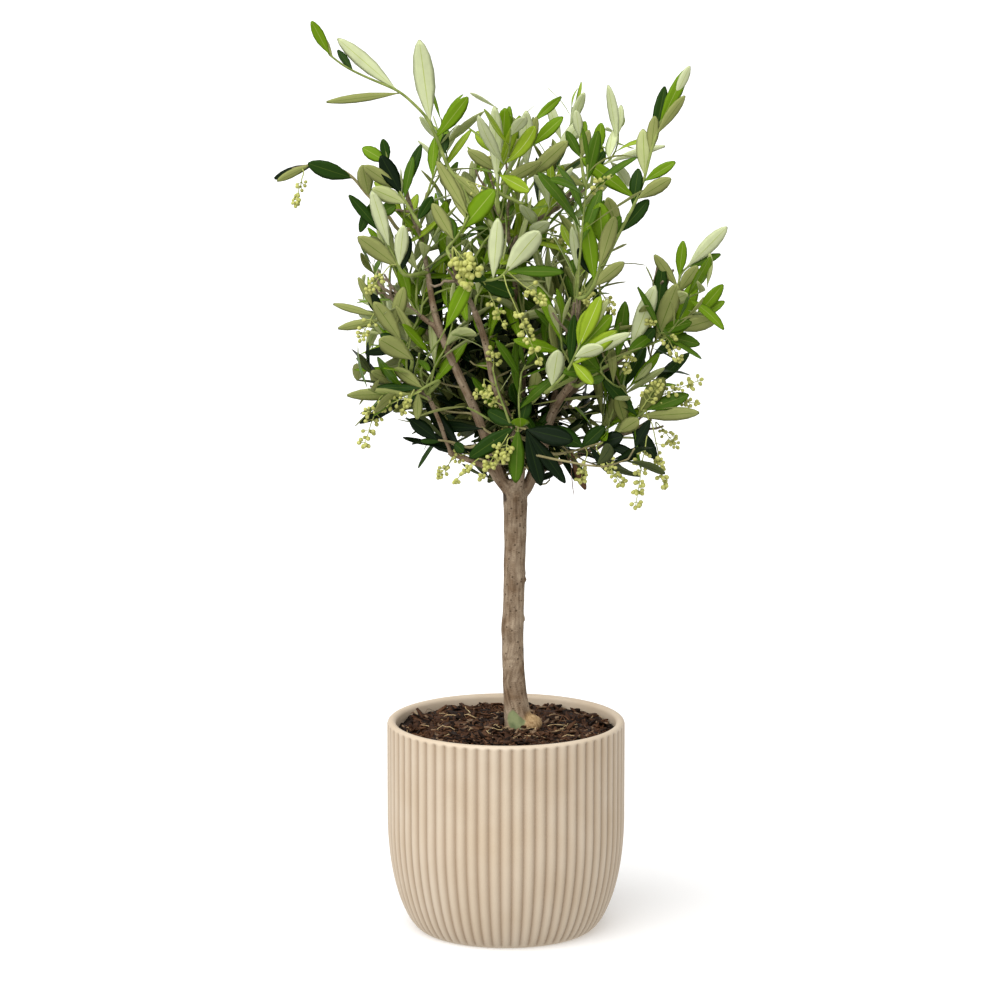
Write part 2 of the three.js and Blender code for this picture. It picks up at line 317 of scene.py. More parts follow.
def planter():
    pot = draw(section)
    bpy.ops.mesh.select_all(action="SELECT")
    bpy.ops.mesh.spin(steps=FLUTES * STEPS_PER_FLUTE, angle=math.tau, center=(0, 0, 0), axis=(0, 0, 1))
    bpy.ops.mesh.select_all(action="SELECT")
    bpy.ops.mesh.remove_doubles(threshold=0.02 * MM)
    bpy.ops.mesh.dissolve_degenerate(threshold=0.01 * MM)
    bpy.ops.mesh.normals_make_consistent(inside=False)
    bpy.ops.object.mode_set(mode="OBJECT")
    pot.name = "planter_stoneware"
    at = corners_of(pot)
    radius = np.hypot(at[:, 0], at[:, 1])
    phase = np.arctan2(at[:, 1], at[:, 0]) * FLUTES / math.tau
    valley = 1 - np.abs(np.cos(math.pi * phase)) ** 0.85
    outer = radius > wall_radius(at[:, 2]) - 0.3 * POT_WALL
    reach = 1 - smooth_step(at[:, 2], FLUTE_HEAD - FLUTE_FADE, FLUTE_HEAD)
    reach *= smooth_step(at[:, 2], 0.2 * MM, FOOT_FADE) * outer
    inwards = 1 - FLUTE_DEPTH * valley * reach / np.maximum(radius, MM)
    at[:, :2] *= inwards[:, None]
    set_corners(pot, at)
    # Groove depth, read by the glaze colour for pooled glaze and for painted shade in the grooves.
    groove = pot.data.attributes.new("groove", "FLOAT", "POINT")
    groove.data.foreach_set("value", valley * reach)
    only(pot)
    bpy.ops.object.shade_smooth()
    pot.data.materials.append(STONEWARE)
    return pot


pot = planter()
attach(pot, "root")
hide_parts("planter")
print("planter:", triangles(pot), "triangles")

# %% [markdown]
# Potting mix for an olive is composted bark: dark, damp shreds with a few tan fibres of coir. The
# bed is one lumpy disc, and the shreds and fibres are loose pieces scattered over it. Bark is
# nearly black where it is wet and tan where it has dried, so it has four tints, and coir has two.

# %% Potting mix finishes
def matte(name, dark, light, grain, roughness=0.9, bump=0.2 * MM):
    """A dull finish that wanders between two close colours, for bark, soil and fibre."""
    material, tree, shader = blank(name, Roughness=roughness, IOR=1.45, Specular_IOR_Level=0.15)
    place = add(tree, "TexCoord").outputs["Object"]
    speckle = add(tree, "TexNoise", {"Vector": place, "Scale": 1 / grain, "Detail": 5.0})
    colour = ramp(tree, speckle.outputs["Fac"], dark, light, 0.3, 0.7)
    tree.links.new(colour, shader.inputs["Base Color"])
    bumped(tree, shader, speckle.outputs["Fac"], bump)
    return material


SOIL_BED = matte("damp_composted_bark", "#0e0704", "#22150d", 3 * MM)
SHRED_TINTS = [
    matte("bark_shred_black", "#130a05", "#2a1a10", 2 * MM, 0.6),
    matte("bark_shred_brown", "#2b1a0f", "#503422", 2 * MM, 0.6),
    matte("bark_shred_red", "#3f2816", "#674731", 2 * MM, 0.65),
    matte("bark_shred_grey", "#66503b", "#967d64", 2 * MM, 0.7),
]
FIBRE_TINTS = [
    matte("coir_fibre_brown", "#5b3d29", "#86624a", 4 * MM),
    matte("coir_fibre_straw", "#b39468", "#e4cf9f", 4 * MM),
]
print("potting mix:", len(SHRED_TINTS), "shred tints")

# %% [markdown]
# The bed is the damp mix that shows between the shreds. It is a short cylinder as wide as the
# frame's soil, with a finely cut top. Two sizes of noise push that top up and down, for lumps and
# crumbs, and it rises slightly round the stem. One function gives this height, so that the bed,
# the shreds and the fibres all agree on it.

# %% Soil bed
SOIL_LOW, SOIL_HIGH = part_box("soil")
STEM_LOW, STEM_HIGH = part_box("trunk")
SOIL_RADIUS = (SOIL_HIGH.x - SOIL_LOW.x) / 2
SOIL_LEVEL = SOIL_HIGH.z - 3 * MM
STEM_FOOT = np.array([STEM_LOW.x + 15 * MM, -2 * MM])
HEAP_WIDTH = 30 * MM
LUMP_HEIGHT, LUMP_WIDTH = 3.2 * MM, 17 * MM
CRUMB_HEIGHT, CRUMB_WIDTH = 1.5 * MM, 6 * MM


def soil_height(x, y):
    """The bed is lumpy all over, and a little higher round the stem."""
    heap = MM * math.exp(-(((x - STEM_FOOT[0]) ** 2 + (y - STEM_FOOT[1]) ** 2) / HEAP_WIDTH**2))
    lumps = LUMP_HEIGHT * noise.noise(Vector((x, y, 0.3)) / LUMP_WIDTH)
    crumbs = CRUMB_HEIGHT * noise.noise(Vector((x, y, 2.0)) / CRUMB_WIDTH)
    return SOIL_LEVEL + 2 * MM + heap + lumps + crumbs


def soil_bed():
    depth = 30 * MM
    bpy.ops.object.select_all(action="DESELECT")
    bpy.ops.mesh.primitive_cylinder_add(vertices=96, radius=SOIL_RADIUS, depth=depth,
                                        end_fill_type="TRIFAN",
                                        location=(0, 0, SOIL_LEVEL - depth / 2))
    bed = bpy.context.object
    bed.name = "soil_bed"
    bpy.ops.object.transform_apply()
    pick(bed, "polygons", lambda face: face.normal.z > 0.5)
    bpy.ops.mesh.subdivide(number_cuts=11)
    bpy.ops.object.mode_set(mode="OBJECT")
    at = corners_of(bed)
    top = at[:, 2] > SOIL_LEVEL - MM
    at[top, 2] = [soil_height(x, y) for x, y in at[top, :2]]
    set_corners(bed, at)
    bpy.ops.object.shade_smooth()
    bed.data.materials.append(SOIL_BED)
    return bed


bed = soil_bed()
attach(bed, "root")
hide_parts("soil")
print("soil bed:", triangles(bed), "triangles")

# %% [markdown]
# A shred is a flat splinter. It starts as a cube, cut across three times along its length, then
# pinched at both ends and twisted a little, which is enough to catch the light like torn bark.
# Three such splinters are modelled, and all the others are copies of them, in one joined mesh.

# %% Bark shreds
SHREDS = 2300
SHRED_REACH = 0.97  # share of the bed's radius
SHRED_LIFT = 0.4 * MM
SHRED_ODDS = (0.34, 0.38, 0.2, 0.08)  # one for each tint


def model_shred(bend, twist):
    bpy.ops.object.select_all(action="DESELECT")
    bpy.ops.mesh.primitive_cube_add(size=1)
    shred = bpy.context.object
    y = [corner.co.y for corner in shred.data.vertices]
    pick(shred, "edges", lambda edge: y[edge.vertices[0]] != y[edge.vertices[1]])
    bpy.ops.mesh.subdivide(number_cuts=3)
    bpy.ops.object.mode_set(mode="OBJECT")
    at = corners_of(shred)
    taper = 1 - 2.2 * at[:, 1] ** 2
    at[:, 0] *= taper
    at[:, 2] *= 0.6 + 0.4 * taper
    at[:, 2] += bend * (at[:, 1] ** 2 - 0.1)
    turn = twist * at[:, 1]
    x, z = at[:, 0].copy(), at[:, 2].copy()
    at[:, 0] = x * np.cos(turn) - z * np.sin(turn)
    at[:, 2] = x * np.sin(turn) + z * np.cos(turn)
    faces = [list(p.vertices) for p in shred.data.polygons]
    bpy.data.objects.remove(shred)
    return at, np.array(faces)


def scatter(name, models, count, size_of, odds, materials):
    """Copies small pieces over the soil bed into one mesh. size_of gives width, length, height."""
    corners, faces, looks, used = [], [], [], 0
    for _ in range(count):
        shape, sides = models[rng.integers(len(models))]
        size = size_of()
        reach = SOIL_RADIUS * SHRED_REACH * math.sqrt(rng.uniform()) - 0.3 * size[1]
        angle = rng.uniform(0, math.tau)
        x, y = reach * math.cos(angle), reach * math.sin(angle)
        tilt = Matrix.Rotation(rng.normal(0, 0.32), 3, "X") @ Matrix.Rotation(rng.normal(0, 0.4), 3, "Y")
        turn = np.array(Matrix.Rotation(rng.uniform(0, math.tau), 3, "Z") @ tilt)
        placed = (shape * size) @ turn.T + (x, y, soil_height(x, y) + SHRED_LIFT + 0.25 * size[2])
        corners.append(placed)
        faces.append(sides + used)
        looks.append(np.full(len(sides), rng.choice(len(materials), p=odds)))
        used += len(shape)
    return piece_from(name, np.concatenate(corners), np.concatenate(faces), materials,
                      np.concatenate(looks))


shred_models = [model_shred(0.5, 0.6), model_shred(-0.7, -0.9), model_shred(0.9, 0.2)]


def shred_size():
    length = np.clip(rng.lognormal(math.log(8.5), 0.45), 3.5, 21) * MM
    width = length * rng.uniform(0.16, 0.42)
    return np.array([width, length, rng.uniform(0.7, 1.9) * MM])


shreds = scatter("bark_shreds", shred_models, SHREDS, shred_size, SHRED_ODDS, SHRED_TINTS)
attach(shreds, "root")
print("bark shreds:", triangles(shreds), "triangles")

# %% [markdown]
# Coir fibres are thin, springy hairs. One long curve object holds a spline for each of them, with
# its own radius, and is turned into a mesh in one go. The same trick makes every twig later on.

# %% Tubes from splines, and coir fibres
def tubes(name, routes, material, sides=1):
    """One mesh of closed round tubes. Each route is a list of points with a list of radii."""
    curve = bpy.data.curves.new(name, "CURVE")
    curve.dimensions = "3D"
    curve.bevel_depth = 1.0
    curve.bevel_resolution = sides
    curve.use_fill_caps = True
    for points, radii in routes:
        spline = curve.splines.new("POLY")
        spline.points.add(len(points) - 1)
        spline.points.foreach_set("co", np.column_stack([points, np.ones(len(points))]).ravel())
        spline.points.foreach_set("radius", np.asarray(radii, dtype=float))
    piece = bpy.data.objects.new(name, curve)
    bpy.context.collection.objects.link(piece)
    only(piece)
    bpy.ops.object.convert(target="MESH")
    piece = bpy.context.object
    piece.data.materials.clear()
    piece.data.materials.append(material)
    bpy.ops.object.shade_smooth()
    return piece


FIBRE_REACH = SOIL_RADIUS - 2 * MM


def fibre():
    length = rng.uniform(7, 26) * MM
    reach = SOIL_RADIUS * 0.93 * math.sqrt(rng.uniform())
    angle, heading, curl = rng.uniform(0, math.tau), rng.uniform(0, math.tau), rng.normal(0, 1.6)
    at = np.array([reach * math.cos(angle), reach * math.sin(angle)])
    points = []
    for share in np.linspace(0, 1, 7):
        arch = 3.2 * MM * math.sin(math.pi * share) * rng.uniform(0.3, 1)
        if np.linalg.norm(at) > FIBRE_REACH:
            at *= FIBRE_REACH / np.linalg.norm(at)
        points.append((at[0], at[1], soil_height(*at) + 0.9 * MM + arch))
        at = at + length / 6 * np.array([math.cos(heading), math.sin(heading)])
        heading += curl / 6
    thickness = rng.uniform(0.16, 0.34) * MM
    return points, np.array([0.5, 0.9, 1, 1, 1, 0.9, 0.5]) * thickness


for tint, count in zip(FIBRE_TINTS, (130, 46)):
    hairs = tubes("fibres_" + tint.name, [fibre() for _ in range(count)], tint)
    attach(hairs, "root")
    print(hairs.name, triangles(hairs), "triangles")

# %% [markdown]
# The frame gives each limb as a plain solid. To grow anything on it, its centre line is needed:
# the solid's corners are sorted by how far they lie from its foot, and the middle of each slice is
# one point of the line. A limb's thickness there is how far the slice's corners stand off the line.

# %% Centre lines of the frame's limbs
def cad_corners(node):
    return np.unique(np.round(corners_of(frame["nodes"][node]), 6), axis=0)


def centre_line(node, foot, slices):
    at = cad_corners(node)
    reach = np.linalg.norm(at - foot, axis=1)
    edges = np.linspace(reach.min(), reach.max() + 1e-9, slices + 1)
    groups = [at[(reach >= low) & (reach < high)] for low, high in zip(edges, edges[1:])]
    groups = [group for group in groups if len(group) > 3]
    line = np.array([group.mean(axis=0) for group in groups])
    heading = np.gradient(line, axis=0)
    heading /= np.linalg.norm(heading, axis=1)[:, None]
    radii = [
        np.linalg.norm((group - middle) - np.outer((group - middle) @ along, along), axis=1).mean()
        for group, middle, along in zip(groups, line, heading)
    ]
    share = np.linspace(0, 1, len(radii))
    return line, np.polyval(np.polyfit(share, radii, 1), share)


def nearest(points, spot):
    return int(np.argmin(np.linalg.norm(np.asarray(points) - spot, axis=1)))


FORK = np.array([(STEM_LOW.x + STEM_HIGH.x) / 2 - 4 * MM, 0, STEM_HIGH.z - 4 * MM])
stem_line = centre_line("trunk", np.array([STEM_FOOT[0], STEM_FOOT[1], STEM_LOW.z]), 12)
BOUGHS = {}
for node in sorted(n for n in frame["nodes"] if n.startswith("bough_")):
    corners = cad_corners(node)
    BOUGHS[node] = centre_line(node, corners[nearest(corners, FORK)], 9)
print(len(BOUGHS), "boughs, fork at", FORK.round(3))

# %% [markdown]
# Every limb that grows is a smooth curve between two places, leaving its parent along the parent's
# heading and arriving along its own. A cubic Bezier curve does just that. The small wander keeps
# it from looking drawn with a ruler. Any line can also be read off at even steps, or softened.

# %% Curves for growing limbs
def grown_curve(start, leave, end, arrive, points=8, wander=0.0):
    span = np.linalg.norm(end - start)
    a, b = start + 0.38 * span * leave, end - 0.38 * span * arrive
    t = np.linspace(0, 1, points)[:, None]
    curve = (1 - t) ** 3 * start + 3 * (1 - t) ** 2 * t * a + 3 * (1 - t) * t**2 * b + t**3 * end
    sway = rng.normal(0, wander, (points, 3)) if wander else 0
    return curve + sway * np.sin(math.pi * t)


def headings(line):
    ahead = np.gradient(line, axis=0)
    return ahead / np.linalg.norm(ahead, axis=1)[:, None]


def run_of(line):
    """How far along its line each point lies."""
    steps = np.linalg.norm(np.diff(line, axis=0), axis=1)
    return np.concatenate([[0], np.cumsum(steps)])


def read_off(values, run, station):
    """Places or directions given at the points of a line, read off at one station or at many."""
    return np.stack([np.interp(station, run, values[:, k]) for k in range(3)], axis=-1)


def softened(line, rounds):
    """The same route with its corners rounded off. Its two ends stay where they are."""
    for _ in range(rounds):
        line[1:-1] = (line[:-2] + 2 * line[1:-1] + line[2:]) / 4
    return line


print("curve test:", grown_curve(FORK, UP, FORK + (0.02, 0, 0.1), UP)[-1].round(3))

# %% [markdown]
# Inside each mass of foliage grows a scaffold: one limb that carries on from the nearest bough
# towards the top of the mass, and side branches that spread from it. Their order is fixed by a
# spiral of evenly spread directions, the way buds sit on a stem, so no part of the mass is missed.

# %% Scaffold
HEART = FORK + 48 * MM * UP
LIFT = 0.5
SIDE_BRANCHES = 4
LIMB_RADIUS = 2.1 * MM
BRANCH_RADIUS = 1.4 * MM


def flow(place):
    """The way limbs run at a place: away from the heart of the crown, and up to the light."""
    return unit(unit(place - HEART) + LIFT * UP)


def spread(count, turn=0.0):
    """Evenly spread directions over a ball, from straight up to straight down."""
    k = np.arange(count) + 0.5
    z = 1 - 2 * k / count
    a = math.pi * (3 - math.sqrt(5)) * k + turn
    flat = np.sqrt(1 - z * z)
    return np.column_stack([flat * np.cos(a), flat * np.sin(a), z])


class Mass:
    def __init__(self, node):
        shell = frame["nodes"][node].data
        self.node = node
        self.tree = BVHTree.FromPolygons([v.co for v in shell.vertices],
                                         [list(p.vertices) for p in shell.polygons])
        self.middle = cad_corners(node).mean(axis=0)

    def skin(self, direction):
        """How far the mass reaches from its middle in this direction."""
        hit = self.tree.ray_cast(Vector(self.middle), Vector(direction))
        return hit[3] if hit[0] else 0.0

    def holds(self, place):
        hit = self.tree.find_nearest(Vector(place))
        return (Vector(place) - hit[0]).dot(hit[1]) < 0


MASSES = {n: Mass(n) for n in sorted(frame["nodes"]) if n.startswith("foliage_")}
bough_points = np.concatenate([line for line, _ in BOUGHS.values()])
bough_headings = np.concatenate([headings(line) for line, _ in BOUGHS.values()])
limb_routes = []


def taper(count, thick, thin):
    return np.linspace(thick, thin, count)


def grow_scaffold(mass):
    entry = nearest(bough_points, mass.middle)
    start, leave = bough_points[entry], bough_headings[entry]
    ahead = flow(mass.middle)
    goal = mass.middle + 0.3 * mass.skin(ahead) * ahead
    limb = grown_curve(start, leave, goal, ahead, 10, 1.2 * MM)
    limb_routes.append((limb, taper(10, LIMB_RADIUS, BRANCH_RADIUS)))
    for k, direction in enumerate(spread(SIDE_BRANCHES, rng.uniform(0, math.tau))):
        direction = unit(direction + 0.7 * ahead)
        root = limb[1 + round(6 * (k + 0.5) / SIDE_BRANCHES)]
        end = mass.middle + 0.45 * mass.skin(direction) * direction
        away = unit(end - root)
        branch = grown_curve(root, unit(away + 0.6 * ahead), end, unit(away + 0.6 * ahead), 7, MM)
        limb_routes.append((branch, taper(7, BRANCH_RADIUS, 0.7 * BRANCH_RADIUS)))


for mass in MASSES.values():
    grow_scaffold(mass)
wood_points = np.concatenate([line for line, _ in limb_routes])
wood_headings = np.concatenate([headings(line) for line, _ in limb_routes])
print(len(limb_routes), "scaffold limbs in", len(MASSES), "masses")

# %% [markdown]
# Olive leaves sit in opposite pairs, each pair turned a quarter from the last. The upper face is
# deep green. On young shoots it looks along the stem, so from outside one sees the silvery
# underside; on old ones the leaf has turned its upper face to the light. Near the tip the leaves
# are small and folded close. Each leaf is written down here as one row, to be made mesh later.

# %% Rules for leaves along a shoot
LEAF_LENGTH = 46 * MM
LEAF_WIDTH = 11.5 * MM
PAIR_SPACING = 13.5 * MM
LEAF_LOST = 0.14  # the chance that a leaf of a pair has fallen
OPEN_AT_TIP, OPEN_WITH_AGE = 8, 34  # degrees between leaf and stem
BUD_CHANCE = 0.09
SUNWARD = {"night": 0.8, "deep": 0.65, "mid": 0.45, "bright": 0.35, "young": 0.25}
leaves = []
green_routes = []
bud_sites = []


def put_leaf(region, tint, base, along, face, length, width, arch=None, fold=None, twist=None):
    along = unit(along)
    face = unit(face - along * (face @ along))
    leaves.append((region, tint, base, along, face, length, width,
                   rng.normal(0.2, 0.32) if arch is None else arch,
                   abs(rng.normal(0.16, 0.14)) if fold is None else fold,
                   rng.normal(0, 0.35) if twist is None else twist))


def clothe(region, tint, line, leafy, size=1.0):
    """Pairs of leaves from the tip of a shoot back along its leafy stretch."""
    run = run_of(line)
    ahead = headings(line)
    turn = rng.uniform(0, math.pi)
    station, pair = run[-1], 0
    while station > max(run[-1] - leafy, 0):
        here = read_off(line, run, station)
        tip_way = unit(read_off(ahead, run, station))
        across = unit(np.cross(tip_way, UP + 0.01 * rng.normal(size=3)))
        back = np.cross(across, tip_way)
        age = min(1.0, 0.25 + pair / 3)
        for side in (0, math.pi):
            if pair > 0 and rng.uniform() < LEAF_LOST:
                continue
            a = turn + side + rng.normal(0, 0.25)
            out = math.cos(a) * across + math.sin(a) * back
            open_angle = math.radians(OPEN_AT_TIP + OPEN_WITH_AGE * age + rng.normal(0, 11))
            along = unit(math.cos(open_angle) * tip_way + math.sin(open_angle) * out)
            face = flow(here) + 0.8 * UP if rng.uniform() < SUNWARD[tint] else tip_way
            face = unit(face - along * (face @ along)) + rng.normal(0, 0.4, 3)
            length = size * LEAF_LENGTH * (0.4 + 0.6 * age) * rng.normal(1, 0.16)
            width = size * LEAF_WIDTH * (0.38 + 0.62 * age) * rng.normal(1, 0.2)
            put_leaf(region, tint, here + 0.8 * MM * out, along, face, length, width)
        if pair > 2 and rng.uniform() < BUD_CHANCE:
            bud_sites.append((region, here, unit(tip_way + 0.8 * out), tip_way))
        turn += math.pi / 2 + rng.normal(0, 0.2)
        station -= PAIR_SPACING * (0.4 + 0.6 * age) * rng.normal(1, 0.15)
        pair += 1


print("leaf", LEAF_LENGTH, "by", LEAF_WIDTH)
